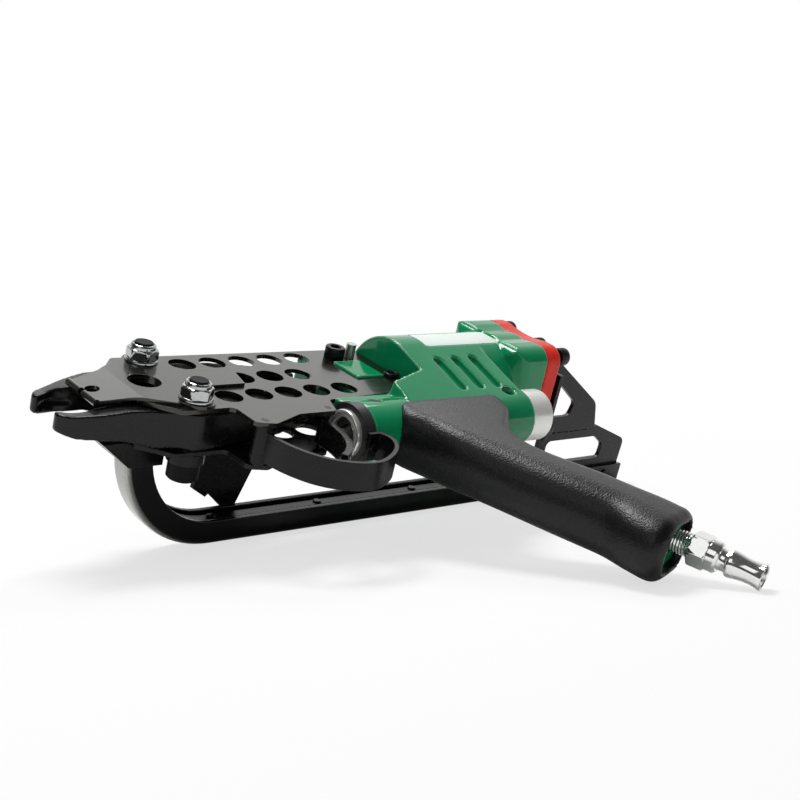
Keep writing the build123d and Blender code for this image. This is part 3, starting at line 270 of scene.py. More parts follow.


# Blacked alloy steel: blue-black, fairly smooth, slightly brighter on the corners of the knurl and other
# edges, partly wear and partly a painted highlight
blacked = rubbed_with_painted_edge_highlight("hot_blacked_steel", {"IOR": 1.5, "Metallic": 0.3, "Specular IOR Level": 0.35},
                 edge_mm=0.3, patch_mm=1.5, tones=("#09090a", "#161618", "#7a7a7c"), dulls=(0.2, 0.38),
                 peel_mm=0.6, peel_strength=0.06)
dress(blacked, "pivot_washers", "set_screws", "guard_screw", "guard_pin", "trigger_pin", "stay_screws",
      "bracket_rivets", "rail_guide_bar", "ring_pusher")

# Phosphated steel of the pivot bolts: matt charcoal that stays dark at a low angle, with a lighter edge tone
# that is partly wear and partly painted highlight
phosphated = rubbed_with_painted_edge_highlight("phosphated_bolt_steel", {"IOR": 1.5, "Specular IOR Level": 0.12},
                    edge_mm=0.4, patch_mm=1.2, tones=("#0a0a0a", "#151515", "#55555a"), dulls=(0.45, 0.6),
                    peel_mm=0.5, peel_strength=0.1)
dress(phosphated, "pivot_bolts")


def socket_head(mesh, seat, radius, height, key_flats, knurled):
    """Screw head with a chamfered foot, a rounded crown and a key recess; the rim may have 36 ridges."""
    ridges = 36
    ridge_depth = 0.15
    mouth_depth = 0.35
    mouth_radius = key_flats * 0.62
    mouth_foot = key_flats * 0.55
    steps = 4 * ridges if knurled else 72

    def ridged(angle):
        return radius - ridge_depth * abs(math.sin(ridges / 2 * angle))

    rim = ridged if knurled else radius
    outside = [(0.0, 0.0), (0.0, radius - 0.3), (0.25, rim), (height - 0.7, rim),
               (height - 0.2, radius - 0.25), (height, radius - 0.6), (height, mouth_radius)]
    mouth = [(height, mouth_radius), (height - mouth_depth, mouth_foot)]
    recess = [(height - mouth_depth, key_flats), (height * 0.45, key_flats), (height * 0.4, 0.0)]
    turned(mesh, seat, outside, steps=steps)
    turned(mesh, seat, mouth, steps=steps)
    turned(mesh, seat, recess, flats=key_flats, steps=steps)


# Four screws at the cap's corners, one of them through the bracket's sheet, and a smaller vent screw on top
cap_rear_x = 210.0
cap_screw_offset = 20.5
bracket_sheet = 2.5
vent_y, vent_z = -3.5, 21.0
face_rear = Matrix.Rotation(math.pi / 2, 4, "Y")
cap_mesh = bmesh.new()
for side in (1, -1):
    for level in (1, -1):
        lift = bracket_sheet if side < 0 and level < 0 else 0.0
        seat = Matrix.Translation((cap_rear_x + lift, side * cap_screw_offset, level * cap_screw_offset))
        socket_head(cap_mesh, seat @ face_rear, radius=4.8, height=6.0, key_flats=5.0, knurled=True)
vent_seat = Matrix.Translation((cap_rear_x, vent_y, vent_z)) @ face_rear
socket_head(cap_mesh, vent_seat, radius=3.8, height=6.0, key_flats=4.0, knurled=True)
cap_heads = set_up("cap_screw_heads", cap_mesh, "frame", "black_oxide_steel", blacked)
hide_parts("cap_screws")

# Each plate has a tall knurled screw at its far edge and a low plain one in front of the barrel
plate_outer = 11.0
tall_x, tall_y = 88.0, 17.0
low_x, low_y = 103.7, -9.5
plate_mesh = bmesh.new()
for side in (1, -1):
    flip = Matrix.Rotation(0.0 if side > 0 else math.pi, 4, "X")
    tall_seat = Matrix.Translation((tall_x, tall_y, side * plate_outer)) @ flip
    low_seat = Matrix.Translation((low_x, low_y, side * plate_outer)) @ flip
    socket_head(plate_mesh, tall_seat, radius=5.0, height=6.0, key_flats=5.0, knurled=True)
    socket_head(plate_mesh, low_seat, radius=4.0, height=2.0, key_flats=4.0, knurled=False)
plate_heads = set_up("plate_screw_heads", plate_mesh, "frame", "black_oxide_steel", blacked)
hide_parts("plate_screws")


# Pivot lock nuts. Cold-formed steel nuts with a turned flange and a crimped collar over a nylon ring,
# zinc plated bright, screwed down on the cover over the two jaw pivots.
def clouded(name, sockets, tones, cloud_mm, detail=3.0, warp=0.0, dulls=None, grain_mm=None, strength=0.0,
            edge_mm=None):
    """Finish that is cloudy in two tones and, where given, two dullnesses.

    The cloud, or a finer grain of its own size, gives the bump. Edges may be rounded.
    """
    finish = start_finish(name, sockets)
    place = add(finish, "ShaderNodeTexCoord")["Object"]
    cloud = add(finish, "ShaderNodeTexNoise",
                {"Vector": place, "Scale": 1000 / cloud_mm, "Detail": detail, "Distortion": warp})[0]
    shade = add(finish, "ShaderNodeMix", {0: cloud, 6: linear(tones[0]), 7: linear(tones[1])},
                data_type="RGBA")[2]
    join(finish, {"Base Color": shade})
    if dulls:
        dull = add(finish, "ShaderNodeMapRange", {"Value": cloud, "To Min": dulls[0], "To Max": dulls[1]})[0]
        join(finish, {"Roughness": dull})
    if strength:
        relief = {"Height": cloud, "Strength": strength, "Distance": 0.0001}
        if grain_mm:
            relief["Height"] = add(finish, "ShaderNodeTexNoise",
                                   {"Vector": place, "Scale": 1000 / grain_mm, "Detail": 2.0})[0]
        if edge_mm:
            relief["Normal"] = add(finish, "ShaderNodeBevel", {"Radius": edge_mm / 1000}, samples=8)[0]
        join(finish, {"Normal": add(finish, "ShaderNodeBump", relief)[0]})
    return finish


# Bright zinc: mirror-like cool grey with a faint cloudy bloom about 2 mm across
bright_zinc = clouded("bright_zinc_plate", {"Metallic": 1.0}, ("#9fa1a2", "#c6c7c7"), cloud_mm=2.0,
                      detail=4.0, dulls=(0.05, 0.13), strength=0.03, edge_mm=0.3)
# Nylon locking ring: dark dull plastic inside the collar, with a grain of 0.5 mm
nylon = clouded("moulded_black_nylon", {"IOR": 1.53, "Roughness": 0.5}, ("#0c0c0d", "#1c1c1e"),
                cloud_mm=0.5, strength=0.1)

cover_top = 12.5
pivot_x, pivot_y = -20.0, 22.5
nut_flats, nut_bore = 13.0, 4.1
nut_turn = 0.35
flange_top, hex_top = 1.6, 6.25
lip_depth, lip_radius = 7.7, 4.5
flange = [(0.0, nut_bore), (0.0, 7.3), (0.3, 7.6), (0.8, 7.6), (1.5, 7.2), (flange_top, 6.9)]
hexagon = [(flange_top, 7.2), (1.9, 7.4), (5.2, 7.4), (5.8, 7.0), (6.2, 6.4), (hex_top, 5.9)]
collar = [(hex_top, 5.9), (7.4, 5.8), (7.95, 5.6), (8.25, 5.25), (8.35, 4.9), (8.2, 4.6),
          (lip_depth, lip_radius)]
lock_ring = [(lip_depth, lip_radius), (7.6, nut_bore), (0.0, nut_bore)]
nut_mesh = bmesh.new()
for side in (1, -1):
    seat = Matrix.Translation((pivot_x, side * pivot_y, cover_top)) @ Matrix.Rotation(nut_turn * side, 4, "Z")
    turned(nut_mesh, seat, flange)
    turned(nut_mesh, seat, hexagon, flats=nut_flats)
    turned(nut_mesh, seat, collar)
    turned(nut_mesh, seat, lock_ring, finish_index=1)
nuts = set_up("crimped_lock_nuts", nut_mesh, "frame", "zinc_plate", bright_zinc, nylon)
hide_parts("pivot_lock_nuts")


# Housing. One aluminium casting with barrel, fork, valve tube and grip core, shot-blasted and sprayed in
# deep green gloss enamel, with soft cast corners, cooling louvres and a flat for the plate on top.
# Green gloss enamel: wet-looking clear gloss over deep green, cast corners, orange peel of 1.5 mm, and a pale
# painted highlight on the outer edges
green = start_finish("green_gloss_enamel", {"IOR": 1.45})
place = add(green, "ShaderNodeTexCoord")["Object"]
edge = add(green, "ShaderNodeBevel", {"Radius": 0.0012}, samples=12)[0]
flat = add(green, "ShaderNodeNewGeometry")["Normal"]
turn = add(green, "ShaderNodeVectorMath", {0: edge, 1: flat}, operation="DOT_PRODUCT")["Value"]
cloud = add(green, "ShaderNodeTexNoise", {"Vector": place, "Scale": 1000 / 20.0, "Detail": 3.0})[0]
# Outer edges get pale lines about 1 mm wide, a painted highlight in place of the light that rounded cast
# edges catch; corners that lie in shade get none
open_air = add(green, "ShaderNodeAmbientOcclusion", {"Distance": 0.003}, samples=6)["AO"]
outer = add(green, "ShaderNodeMapRange", {"Value": open_air, "From Min": 0.7, "From Max": 0.95})[0]
thin = add(green, "ShaderNodeMapRange", {"Value": turn, "From Min": 0.995, "From Max": 0.965})[0]
wear_and_painted_highlight = add(green, "ShaderNodeMath", {0: thin, 1: outer}, operation="MULTIPLY")[0]
tone = add(green, "ShaderNodeMix", {0: cloud, 6: linear("#067a4c"), 7: linear("#0a8c5a")},
           data_type="RGBA")[2]
# The pale mint tone is the painted edge highlight, not a colour of the paint
shade = add(green, "ShaderNodeMix", {0: wear_and_painted_highlight, 6: tone, 7: linear("#d8f2e6")}, data_type="RGBA")[2]
dull = add(green, "ShaderNodeMapRange", {"Value": cloud, "To Min": 0.07, "To Max": 0.13})[0]
peel = add(green, "ShaderNodeTexNoise", {"Vector": place, "Scale": 1000 / 1.5, "Detail": 2.0})[0]
bump = add(green, "ShaderNodeBump", {"Height": peel, "Strength": 0.06, "Distance": 0.0003, "Normal": edge})[0]
join(green, {"Base Color": shade, "Roughness": dull, "Normal": bump})

# The casting's corners are about 1.2 mm round. Its cylinder and its valve bore, each given as centre y,
# radius, front x and rear x, keep their turned size with a little room
casting = worked_copy("cast_housing", "housing", green, grid_mm=0.6, passes=4, keep=0.25)
valve_y = -44.0
bores = ((0.0, 20.0, 118.0, 197.0), (valve_y, 10.0, 56.0, 161.5))
bore_catch = 0.5
bore_run_out = 1.0
bore_room = 0.02
for vert in casting.data.vertices:
    spot = to_tool @ vert.co
    for centre_y, radius, front_x, rear_x in bores:
        reach = math.hypot(spot.y - centre_y, spot.z)
        inside = front_x - bore_run_out < spot.x < rear_x + bore_run_out
        if inside and abs(reach - radius) < bore_catch:
            grow = (radius + bore_room) / reach
            vert.co = tool @ Vector((spot.x, centre_y + (spot.y - centre_y) * grow, spot.z * grow))
stand_for(casting, "housing", "frame")


# Bare plate on the barrel. A thin white self-adhesive plate with round corners, cut from vinyl film and
# pressed on the barrel's flat, blank apart from its own soft sheen.
# White vinyl: clean white, satin, faintly stained in 9 mm clouds, with a film texture of 0.4 mm
vinyl = clouded("white_vinyl_film", {"IOR": 1.5, "Specular IOR Level": 0.2}, ("#d6e0da", "#e4ede7"),
                cloud_mm=9.0, dulls=(0.45, 0.58), grain_mm=0.4, strength=0.05)

plate_low, plate_rise = 24.8, 0.5
plate_front, plate_rear, plate_half = 125.3, 178.2, 7.7
corner_round, corner_steps = 3.0, 8
edge_from, edge_inset = 0.7, 0.25
film_mesh = bmesh.new()
rows = []
for level, inset in ((plate_low, 0.0), (plate_low + plate_rise * edge_from, 0.0),
                     (plate_low + plate_rise, edge_inset)):
    row = []
    for corner_x, corner_y, start in ((plate_rear, plate_half, 0), (plate_front, plate_half, 90),
                                      (plate_front, -plate_half, 180), (plate_rear, -plate_half, 270)):
        centre_x = corner_x + (corner_round if corner_x == plate_front else -corner_round)
        centre_y = corner_y - math.copysign(corner_round, corner_y)
        reach = corner_round - inset
        for k in range(corner_steps + 1):
            angle = math.radians(start + k * 90 / corner_steps)
            row.append(film_mesh.verts.new((centre_x + reach * math.cos(angle),
                                            centre_y + reach * math.sin(angle), level)))
    rows.append(row)
skin(film_mesh, rows)
film_mesh.faces.new(rows[-1])
film_mesh.faces.new(rows[0])
film = set_up("blank_film_plate", film_mesh, "frame", "white_film", vinyl)
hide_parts("label_plate")


# Rear cap. An injection-moulded plastic block with four screw corners, which closes the air cylinder
# on a ring seal. The mould leaves its corners about 1 mm round.
# Red ABS: saturated warm red, semi-gloss, with faint 12 mm flow lines and a spark texture of 0.4 mm
red_abs = clouded("moulded_red_abs", {"IOR": 1.5, "Specular IOR Level": 0.22}, ("#cc2012", "#e4351e"),
                  cloud_mm=12.0, warp=1.0, dulls=(0.28, 0.4), grain_mm=0.4, strength=0.06, edge_mm=0.8)
moulded_cap = worked_copy("moulded_end_cap", "end_cap", red_abs, grid_mm=0.6, passes=4, keep=0.3)
stand_for(moulded_cap, "end_cap", "frame")


# Seals and bushing inside the cylinder. The nitrile rings are moulded and fitted round the piston and under
# the cap, and the rod runs in a pressed-in bushing of sintered bronze.
# Nitrile: matt black with a grain of 0.6 mm
nitrile = clouded("moulded_nitrile", {"IOR": 1.5, "Roughness": 0.6}, ("#0d0d0d", "#1b1b1b"), cloud_mm=0.6)
dress(nitrile, "piston_seal", "cap_seal_ring")
# Sintered bronze: brownish metal with open pores of about 0.2 mm
bronze = clouded("sintered_bronze", {"Metallic": 1.0}, ("#6b4a28", "#b0854c"), cloud_mm=0.2, detail=2.0,
                 dulls=(0.35, 0.55))
dress(bronze, "rod_bushing")


# Springs. Oil-tempered steel wire, coiled cold, with closed ends: the large one pushes the piston back,
# the small one the valve stem.
# Tempered wire: blue-grey metal under a thin oil film, cloudy in patches of 3 mm, lighter on its edges as
# wear and painted highlight
tempered_wire = rubbed_with_painted_edge_highlight("oil_tempered_wire", {"Metallic": 1.0},
                       edge_mm=0.2, patch_mm=3.0, tones=("#3c3c3f", "#5b5b5c", "#8a8886"),
                       dulls=(0.24, 0.4), peel_mm=0.5, peel_strength=0.05)


def coil(name, node, front_x, rear_x, centre_y, radius, wire, turns):
    """Round wire wound between two ends, closed for three quarters of a turn at each."""
    closed_turns = 0.75
    closed = closed_turns / turns
    steps = 40 * turns
    sides = 12
    mesh = bmesh.new()
    rows = []
    for k in range(steps + 1):
        angle = 2 * math.pi * turns * k / steps
        share = min(max((k / steps - closed) / (1 - 2 * closed), 0.0), 1.0)
        along = front_x + wire / 2 + (rear_x - front_x - wire) * share
        row = []
        for side in range(sides):
            round_wire = 2 * math.pi * side / sides
            reach = radius + wire / 2 * math.cos(round_wire)
            row.append(mesh.verts.new((along + wire / 2 * math.sin(round_wire),
                                       centre_y + reach * math.cos(angle), reach * math.sin(angle))))
        rows.append(row)
    skin(mesh, rows)
    mesh.faces.new(rows[0])
    mesh.faces.new(rows[-1])
    spring = set_up(name, mesh, "frame", "hardened_steel", tempered_wire)
    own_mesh(spring)
    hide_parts(node)


coil("coiled_return_spring", "return_spring", front_x=118.0, rear_x=182.0, centre_y=0.0,
     radius=16.0, wire=3.0, turns=8)
coil("coiled_valve_spring", "valve_spring", front_x=132.0, rear_x=149.5, centre_y=valve_y,
     radius=8.4, wire=1.2, turns=6)


# Valve and piston. A turned aluminium plug closes the rear of the valve tube, a black acetal sleeve guides
# the stem in front, and a plated ring lies round the stem's hole. The piston is turned aluminium too.
# Turned aluminium: bright pale metal with tool rings about 0.15 mm apart, drawn at 0.5 mm to show
turned_alu = start_finish("turned_aluminium", {"Metallic": 0.45, "Anisotropic": 0.4})
place = add(turned_alu, "ShaderNodeTexCoord")["Object"]
edge = add(turned_alu, "ShaderNodeBevel", {"Radius": 0.0003}, samples=8)[0]
# A wave texture of scale 1 repeats every 0.314 units
ring = add(turned_alu, "ShaderNodeTexWave",
           {"Vector": place, "Scale": 0.314 * 1000 / 0.5, "Distortion": 1.5, "Detail": 2.0},
           bands_direction="X")[1]
cloud = add(turned_alu, "ShaderNodeTexNoise", {"Vector": place, "Scale": 1000 / 4.0, "Detail": 3.0})[0]
shade = add(turned_alu, "ShaderNodeMix", {0: cloud, 6: linear("#e2e3de"), 7: linear("#f3f3ee")},
            data_type="RGBA")[2]
dull = add(turned_alu, "ShaderNodeMapRange", {"Value": ring, "To Min": 0.26, "To Max": 0.4})[0]
bump = add(turned_alu, "ShaderNodeBump",
           {"Height": ring, "Strength": 0.06, "Distance": 0.0001, "Normal": edge})[0]
join(turned_alu, {"Base Color": shade, "Roughness": dull, "Normal": bump})
dress(turned_alu, "valve_plug", "piston")

# Acetal: dense black plastic with a waxy low gloss, cloudy in patches of 2 mm
acetal = clouded("turned_black_acetal", {"IOR": 1.48}, ("#1a1b1a", "#2a2b29"), cloud_mm=2.0,
                 dulls=(0.3, 0.45), strength=0.05, edge_mm=0.6)
dress(acetal, "valve_sleeve")

# Satin nickel on the ring: pale warm metal, softly blurred, with fine marks 0.8 mm across
satin_nickel = clouded("satin_nickel_plate", {"Metallic": 0.7}, ("#e2e1dd", "#f6f5f1"), cloud_mm=0.8,
                       dulls=(0.16, 0.3), strength=0.04)

# The ring has two rounded ridges with a groove between them
bezel_front, bezel_length = 47.5, 2.5
bezel_radius, bezel_bore = 11.2, 7.5
outer_ridge = [(0.9, bezel_radius), (0.35, 11.0), (0.05, 10.6), (0.0, 10.2), (0.1, 9.85), (0.5, 9.65)]
groove = [(1.0, 9.55), (1.0, 9.05)]
inner_ridge = [(0.5, 8.95), (0.1, 8.8), (0.0, 8.45), (0.05, 8.0), (0.3, 7.65), (0.7, bezel_bore)]
back_face = [(bezel_length, bezel_bore), (bezel_length, bezel_radius)]
bezel_seat = Matrix.Translation((bezel_front, valve_y, 0.0)) @ face_rear
bezel_mesh = bmesh.new()
turned(bezel_mesh, bezel_seat, back_face + outer_ridge + groove + inner_ridge + back_face[:1])
bezel = set_up("ridged_bezel", bezel_mesh, "frame", "zinc_plate", satin_nickel)
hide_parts("valve_bezel")


# Grip sleeve. Moulded black rubber with a leather-like mould grain, stretched over the casting's core.
# Its front runs out half round, and its lower end swells into a heel.
# Grained rubber: charcoal black, silky, with a pebble grain of about 0.9 mm that breaks up the highlights
rubber = start_finish("grained_black_rubber", {"IOR": 1.5, "Specular IOR Level": 0.33})
place = add(rubber, "ShaderNodeTexCoord")["Object"]
pebble = add(rubber, "ShaderNodeTexVoronoi", {"Vector": place, "Scale": 1000 / 0.9, "Randomness": 1.0})[0]
crease = add(rubber, "ShaderNodeTexNoise", {"Vector": place, "Scale": 1000 / 1.8, "Detail": 5.0})[0]
bloom = add(rubber, "ShaderNodeTexNoise", {"Vector": place, "Scale": 1000 / 20.0, "Detail": 3.0})[0]
shade = add(rubber, "ShaderNodeMix", {0: bloom, 6: linear("#090a0a"), 7: linear("#111212")},
            data_type="RGBA")[2]
dull = add(rubber, "ShaderNodeMapRange", {"Value": crease, "To Min": 0.28, "To Max": 0.46})[0]
grain = add(rubber, "ShaderNodeMath", {0: pebble, 1: crease}, operation="ADD")[0]
bump = add(rubber, "ShaderNodeBump", {"Height": grain, "Strength": 0.24, "Distance": 0.0004})[0]
join(rubber, {"Base Color": shade, "Roughness": dull, "Normal": bump})

# The grip's own axes: down along the raked handle and wide across it, from the point where it leaves the tube
grip_x, rake = 83.5, math.radians(17.3)
grip_top = Vector((grip_x, valve_y, 0.0))
along_grip = Vector((math.sin(rake), -math.cos(rake), 0.0))
wide_grip = Vector((math.cos(rake), math.sin(rake), 0.0))
# Section of the solid: half its height, its front face, and a corner radius that grows down the handle
grip_half, grip_front = 15.25, -18.4
top_corner, low_corner, corner_run = 6.0, 13.0, 51.0
# What the moulded sleeve has instead: a half-round front, a pulled-in shoulder under the tube and a heel
front_round = 14.5
shoulder_y, shoulder_run, shoulder_pull = -47.0, 11.0, 4.0
heel_start, heel_run, heel_swell = 112.0, 15.0, 3.0
full_reach = 18.0
hair = 0.01


def ease(value):
    value = min(max(value, 0.0), 1.0)
    return value * value * (3 - 2 * value)


def corner_reach(out_share, rise_share, corner):
    """Distance from the half round's centre to the solid's rounded corner, in one direction."""
    inner = front_round - corner
    if front_round * rise_share / out_share <= inner:
        return front_round / out_share
    if front_round * out_share / rise_share <= inner:
        return front_round / rise_share
    half = inner * (out_share + rise_share)
    return half + math.sqrt(half * half - 2 * inner * inner + corner * corner)


def front_share(wide):
    """Only the front moves at the shoulder and the heel, and most where it stands out furthest."""
    return min(max(-wide / full_reach, 0.0), 1.0)


sleeve = worked_copy("moulded_grip_sleeve", "grip_sleeve", rubber, grid_mm=0.8, passes=6, keep=0.4)
for vert in sleeve.data.vertices:
    spot = to_tool @ vert.co - grip_top
    down, wide, high = spot.dot(along_grip), spot.dot(wide_grip), spot.z
    corner = top_corner + (low_corner - top_corner) * ease(down / corner_run)
    out, rise = grip_front + front_round - wide, abs(high) - (grip_half - front_round)
    if out > hair and rise > hair:
        # The half round takes the place of the solid's rounded corner
        far = math.hypot(out, rise)
        pull = front_round / corner_reach(out / far, rise / far, corner)
        wide += out * (1 - pull)
        high -= math.copysign(rise * (1 - pull), high)
    under_tube = shoulder_y - (grip_top + along_grip * down + wide_grip * wide).y
    wide += shoulder_pull * (1 - ease(under_tube / shoulder_run)) * front_share(wide)
    wide -= heel_swell * ease((down - heel_start) / heel_run) * front_share(wide)
    vert.co = tool @ (grip_top + along_grip * down + wide_grip * wide + Vector((0.0, 0.0, high)))
stand_for(sleeve, "grip_sleeve", "frame")


# Air plug. Turned from hexagon steel bar and plated bright, with a pipe thread screwed into the grip core
# and a waisted nipple for the hose coupling.
# Bright nickel: paler and cleaner than the zinc, white where it finds the backdrop
bright_nickel = clouded("bright_nickel_plate", {"Metallic": 0.95}, ("#e3e4e3", "#f6f6f4"), cloud_mm=2.0,
                        detail=4.0, dulls=(0.06, 0.14), strength=0.03, edge_mm=0.3)

plug_shift = 7.0
plug_seat = Matrix((wide_grip, (0, 0, 1), along_grip)).transposed().to_4x4()
plug_seat.translation = grip_top + wide_grip * plug_shift
hex_start, plug_flats = 146.0, 14.0
thread_length, thread_rings = 10.0, 60
thread_pitch, thread_root, thread_depth = 1.34, 5.0, 0.55


def thread_radius(along, angle):
    phase = (along / thread_pitch - angle / (2 * math.pi)) % 1.0
    return thread_root + thread_depth * (1 - abs(2 * phase - 1))


thread = []
for k in range(thread_rings + 1):
    along = hex_start - thread_length + k * thread_length / thread_rings
    thread.append((along, partial(thread_radius, along)))
# Profiles of (along, radius) from the hexagon's inner end: chamfered hexagon, collar, groove for the
# coupling's balls, flared end, and the bore back inside
bar = [(0.0, 5.0), (0.0, 6.9), (0.25, 7.5), (0.8, 8.1), (7.4, 8.1), (7.95, 7.6), (8.2, 7.0)]
round_collar = [(8.2, 6.9), (8.4, 7.1), (12.1, 7.1), (13.2, 6.0)]
ball_groove = [(13.3, 5.1), (13.7, 4.95), (16.4, 4.95), (16.9, 5.2)]
flared_end = [(17.1, 5.9), (17.5, 6.2), (18.2, 6.3), (19.4, 6.2), (21.5, 5.8), (24.0, 5.4), (26.5, 5.25),
              (28.5, 5.3), (30.5, 5.55), (32.0, 5.85), (32.7, 6.0), (33.0, 5.9)]
bore = [(33.0, 5.4), (32.6, 5.1), (30.0, 4.8), (24.0, 4.5), (22.0, 3.75), (14.0, 3.7), (14.0, 0.0)]
nipple = round_collar + ball_groove + flared_end + bore
plug_mesh = bmesh.new()
turned(plug_mesh, plug_seat, thread)
turned(plug_mesh, plug_seat, [(hex_start + along, radius) for along, radius in bar], flats=plug_flats)
turned(plug_mesh, plug_seat, [(hex_start + along, radius) for along, radius in nipple])
plug = set_up("plated_air_plug", plug_mesh, "frame", "zinc_plate", bright_nickel, smooth_deg=30.0)
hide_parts("air_plug")


# Magazine rail. A folded steel channel that bends under the head and carries the rings on a bar, stove
# enamelled and held by the foot, the stay and the rear bracket.
# Rail enamel: glossier black than the plates, with long faint scuffs about 1 mm wide. The outer face of the
# channel, where the rings slide round the bend, is worn down to polished grey steel
rail_enamel = start_finish("gloss_black_rail_enamel", {"IOR": 1.5, "Specular IOR Level": 0.3})
place = add(rail_enamel, "ShaderNodeTexCoord")["Object"]
edge = add(rail_enamel, "ShaderNodeBevel", {"Radius": 0.0009}, samples=8)[0]
flat = add(rail_enamel, "ShaderNodeNewGeometry")["Normal"]
turn = add(rail_enamel, "ShaderNodeVectorMath", {0: edge, 1: flat}, operation="DOT_PRODUCT")["Value"]
long_way = add(rail_enamel, "ShaderNodeMapping", {"Vector": place, "Scale": (0.05, 1.0, 1.0)})[0]
scuff = add(rail_enamel, "ShaderNodeTexNoise", {"Vector": long_way, "Scale": 1000 / 1.0, "Detail": 4.0})[0]
# The outer face of the bend looks forward and down
outward = tilt.to_3x3() @ Vector((-0.8, 0.0, -0.6))
facing = add(rail_enamel, "ShaderNodeVectorMath", {0: edge, 1: outward}, operation="DOT_PRODUCT")["Value"]
slide = add(rail_enamel, "ShaderNodeMapRange", {"Value": facing, "From Min": 0.35, "From Max": 0.62},
            interpolation_type="SMOOTHSTEP")[0]
# Rounded edges take the bare grey in scuffed lines, partly wear and partly a painted edge highlight
edge_wear_and_highlight = add(rail_enamel, "ShaderNodeMapRange", {"Value": turn, "From Min": 0.97, "From Max": 0.75})[0]
wear_and_painted_highlight = add(rail_enamel, "ShaderNodeMath", {0: edge_wear_and_highlight, 1: scuff}, operation="MULTIPLY")[0]
wear_and_painted_highlight = add(rail_enamel, "ShaderNodeMath", {0: wear_and_painted_highlight, 1: slide}, operation="MAXIMUM")[0]
tone = add(rail_enamel, "ShaderNodeMix", {0: scuff, 6: linear("#060606"), 7: linear("#0e0e0e")},
           data_type="RGBA")[2]
bare_steel_and_highlight_tone = add(rail_enamel, "ShaderNodeMix", {0: scuff, 6: linear("#8f8f8b"), 7: linear("#b5b5b0")},
           data_type="RGBA")[2]
shade = add(rail_enamel, "ShaderNodeMix", {0: wear_and_painted_highlight, 6: tone, 7: bare_steel_and_highlight_tone}, data_type="RGBA")[2]
dull = add(rail_enamel, "ShaderNodeMapRange", {"Value": scuff, "To Min": 0.12, "To Max": 0.26})[0]
bump = add(rail_enamel, "ShaderNodeBump",
           {"Height": scuff, "Strength": 0.03, "Distance": 0.0002, "Normal": edge})[0]
join(rail_enamel, {"Base Color": shade, "Metallic": slide, "Roughness": dull, "Normal": bump})
dress(rail_enamel, "magazine_rail")


# Studio. A wide pale paper floor that keeps the tool's shadow and fades to plain white, four soft boxes,
# and the camera at the photograph's place.
# Paper: matt near-white. To the camera it also glows, in part near the tool and fully from 0.55 m on
near_glow = 0.68
fade_start, fade_end = 0.22, 0.55
paper = start_finish("pale_studio_paper",
                     {"Base Color": linear("#f4f4f4"), "Roughness": 0.9, "Specular IOR Level": 0.0})
place = add(paper, "ShaderNodeTexCoord")["Object"]
reach = add(paper, "ShaderNodeVectorMath", {0: place}, operation="LENGTH")["Value"]
fade = add(paper, "ShaderNodeMapRange", {"Value": reach, "From Min": fade_start, "From Max": fade_end},
           interpolation_type="SMOOTHSTEP")[0]
path = add(paper, "ShaderNodeLightPath")
seen = add(paper, "ShaderNodeMath", {0: path["Is Camera Ray"], 1: path["Is Glossy Ray"]},
           operation="MAXIMUM")[0]
seen = add(paper, "ShaderNodeMath", {0: seen, 1: path["Is Transmission Ray"]}, operation="MAXIMUM")[0]
near = add(paper, "ShaderNodeMath", {0: path["Is Camera Ray"], 1: near_glow}, operation="MULTIPLY")[0]
# In a mix of plain values, socket 0 is the factor and sockets 2 and 3 are the two values
share = add(paper, "ShaderNodeMix", {0: fade, 2: near, 3: seen})[0]
glow = add(paper, "ShaderNodeEmission", {"Color": (1, 1, 1, 1), "Strength": 1.0})[0]
matt = paper.node_tree.nodes["Principled BSDF"].outputs[0]
blend = add(paper, "ShaderNodeMixShader", {0: share, 1: matt, 2: glow})[0]
paper.node_tree.links.new(blend, paper.node_tree.nodes["Material Output"].inputs["Surface"])

floor_half, floor_gap = 6.0, 0.0002
floor_mesh = bmesh.new()
bmesh.ops.create_grid(floor_mesh, x_segments=4, y_segments=4, size=floor_half)
floor_data = bpy.data.meshes.new("studio_floor")
floor_mesh.to_mesh(floor_data)
floor_mesh.free()
floor_data.materials.append(paper)
floor = bpy.data.objects.new("studio_floor", floor_data)
floor.location.z = cad_box[0][2] - floor_gap
bpy.context.scene.collection.objects.link(floor)

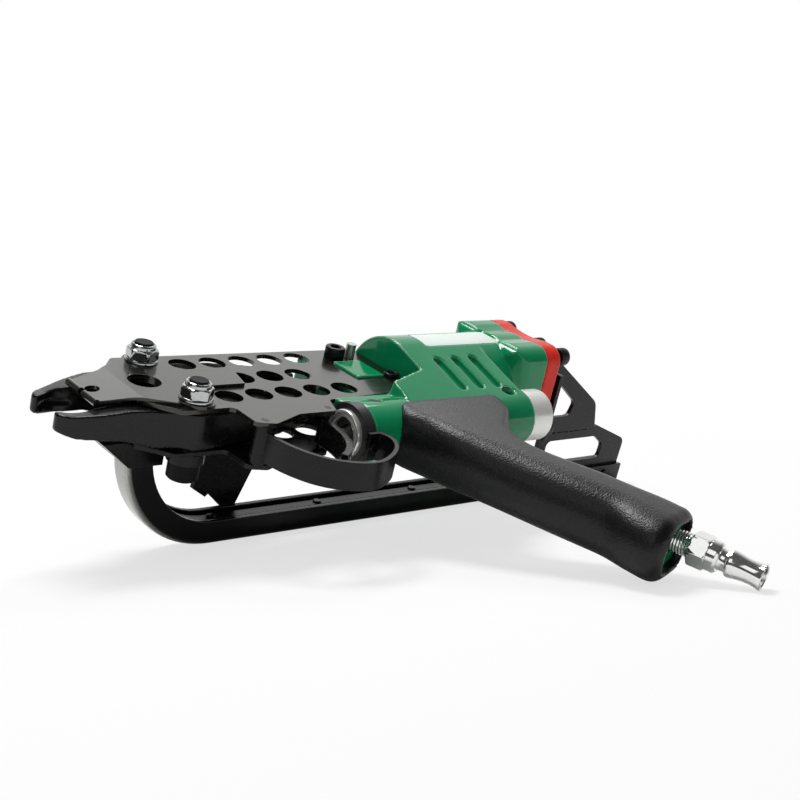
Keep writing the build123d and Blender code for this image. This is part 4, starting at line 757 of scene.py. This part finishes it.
# The room is white to the eye and softly lights the tool. Mirrors find the white backdrop behind the tool and
# a dim room in front of it, on the camera's side
room_fill = 0.32
room_front = (-0.67, -0.73, 0.11)
world = bpy.data.worlds.new("white_studio")
world.use_nodes = True
bpy.context.scene.world = world
way = add(world, "ShaderNodeTexCoord")["Generated"]
front = add(world, "ShaderNodeVectorMath", {0: way, 1: room_front}, operation="DOT_PRODUCT")["Value"]
room = add(world, "ShaderNodeMapRange",
           {"Value": front, "From Min": -0.9, "From Max": 0.1, "To Min": 1.0, "To Max": 0.06},
           interpolation_type="SMOOTHSTEP")[0]
path = add(world, "ShaderNodeLightPath")
seen = add(world, "ShaderNodeMath", {0: path["Is Camera Ray"], 1: path["Is Transmission Ray"]},
           operation="MAXIMUM")[0]
level = add(world, "ShaderNodeMix", {0: path["Is Glossy Ray"], 2: room_fill, 3: room})[0]
level = add(world, "ShaderNodeMix", {0: seen, 2: level, 3: 1.0})[0]
sky = world.node_tree.nodes["Background"]
sky.inputs["Color"].default_value = (1, 1, 1, 1)
world.node_tree.links.new(level, sky.inputs["Strength"])

# A soft box overhead, one behind at the right that draws the edges, a weak one that the cover's bent nose
# mirrors, and a weak fill at the left: place and width in metres, then watts
for name, at, width, watts in (("overhead_box", (-0.1, 0.35, 1.3), 0.45, 12.5),
                               ("back_box", (0.57, 0.49, 1.05), 0.35, 1.8),
                               ("nose_box", (0.29, 0.87, 0.92), 0.35, 0.35),
                               ("left_fill", (-1.2, -0.4, 0.9), 0.8, 2.0)):
    lamp = bpy.data.lights.new(name, "AREA")
    lamp.size = width
    lamp.energy = watts
    holder = bpy.data.objects.new(name, lamp)
    holder.location = at
    holder.rotation_euler = (-Vector(at)).to_track_quat("-Z", "Y").to_euler()
    bpy.context.scene.collection.objects.link(holder)

# Camera: a 66 mm lens on a 36 mm frame, low in front of the jaws, looking along the head to the grip
heading, dip, roll = math.radians(47.490), math.radians(6.407), math.radians(1.038)
camera_place = Matrix.Translation((-0.4920, -0.4568, 0.1451))
camera_turn = Matrix.Rotation(heading - math.pi / 2, 4, "Z") @ Matrix.Rotation(math.pi / 2 - dip, 4, "X")
camera = bpy.data.objects.new("camera", bpy.data.cameras.new("camera"))
camera.data.sensor_width = 36.0
camera.data.lens = 65.88
camera.data.clip_start = 0.01
camera.matrix_world = camera_place @ camera_turn @ Matrix.Rotation(roll, 4, "Z")
bpy.context.scene.collection.objects.link(camera)
bpy.context.scene.camera = camera
bpy.context.scene.view_settings.view_transform = "Standard"
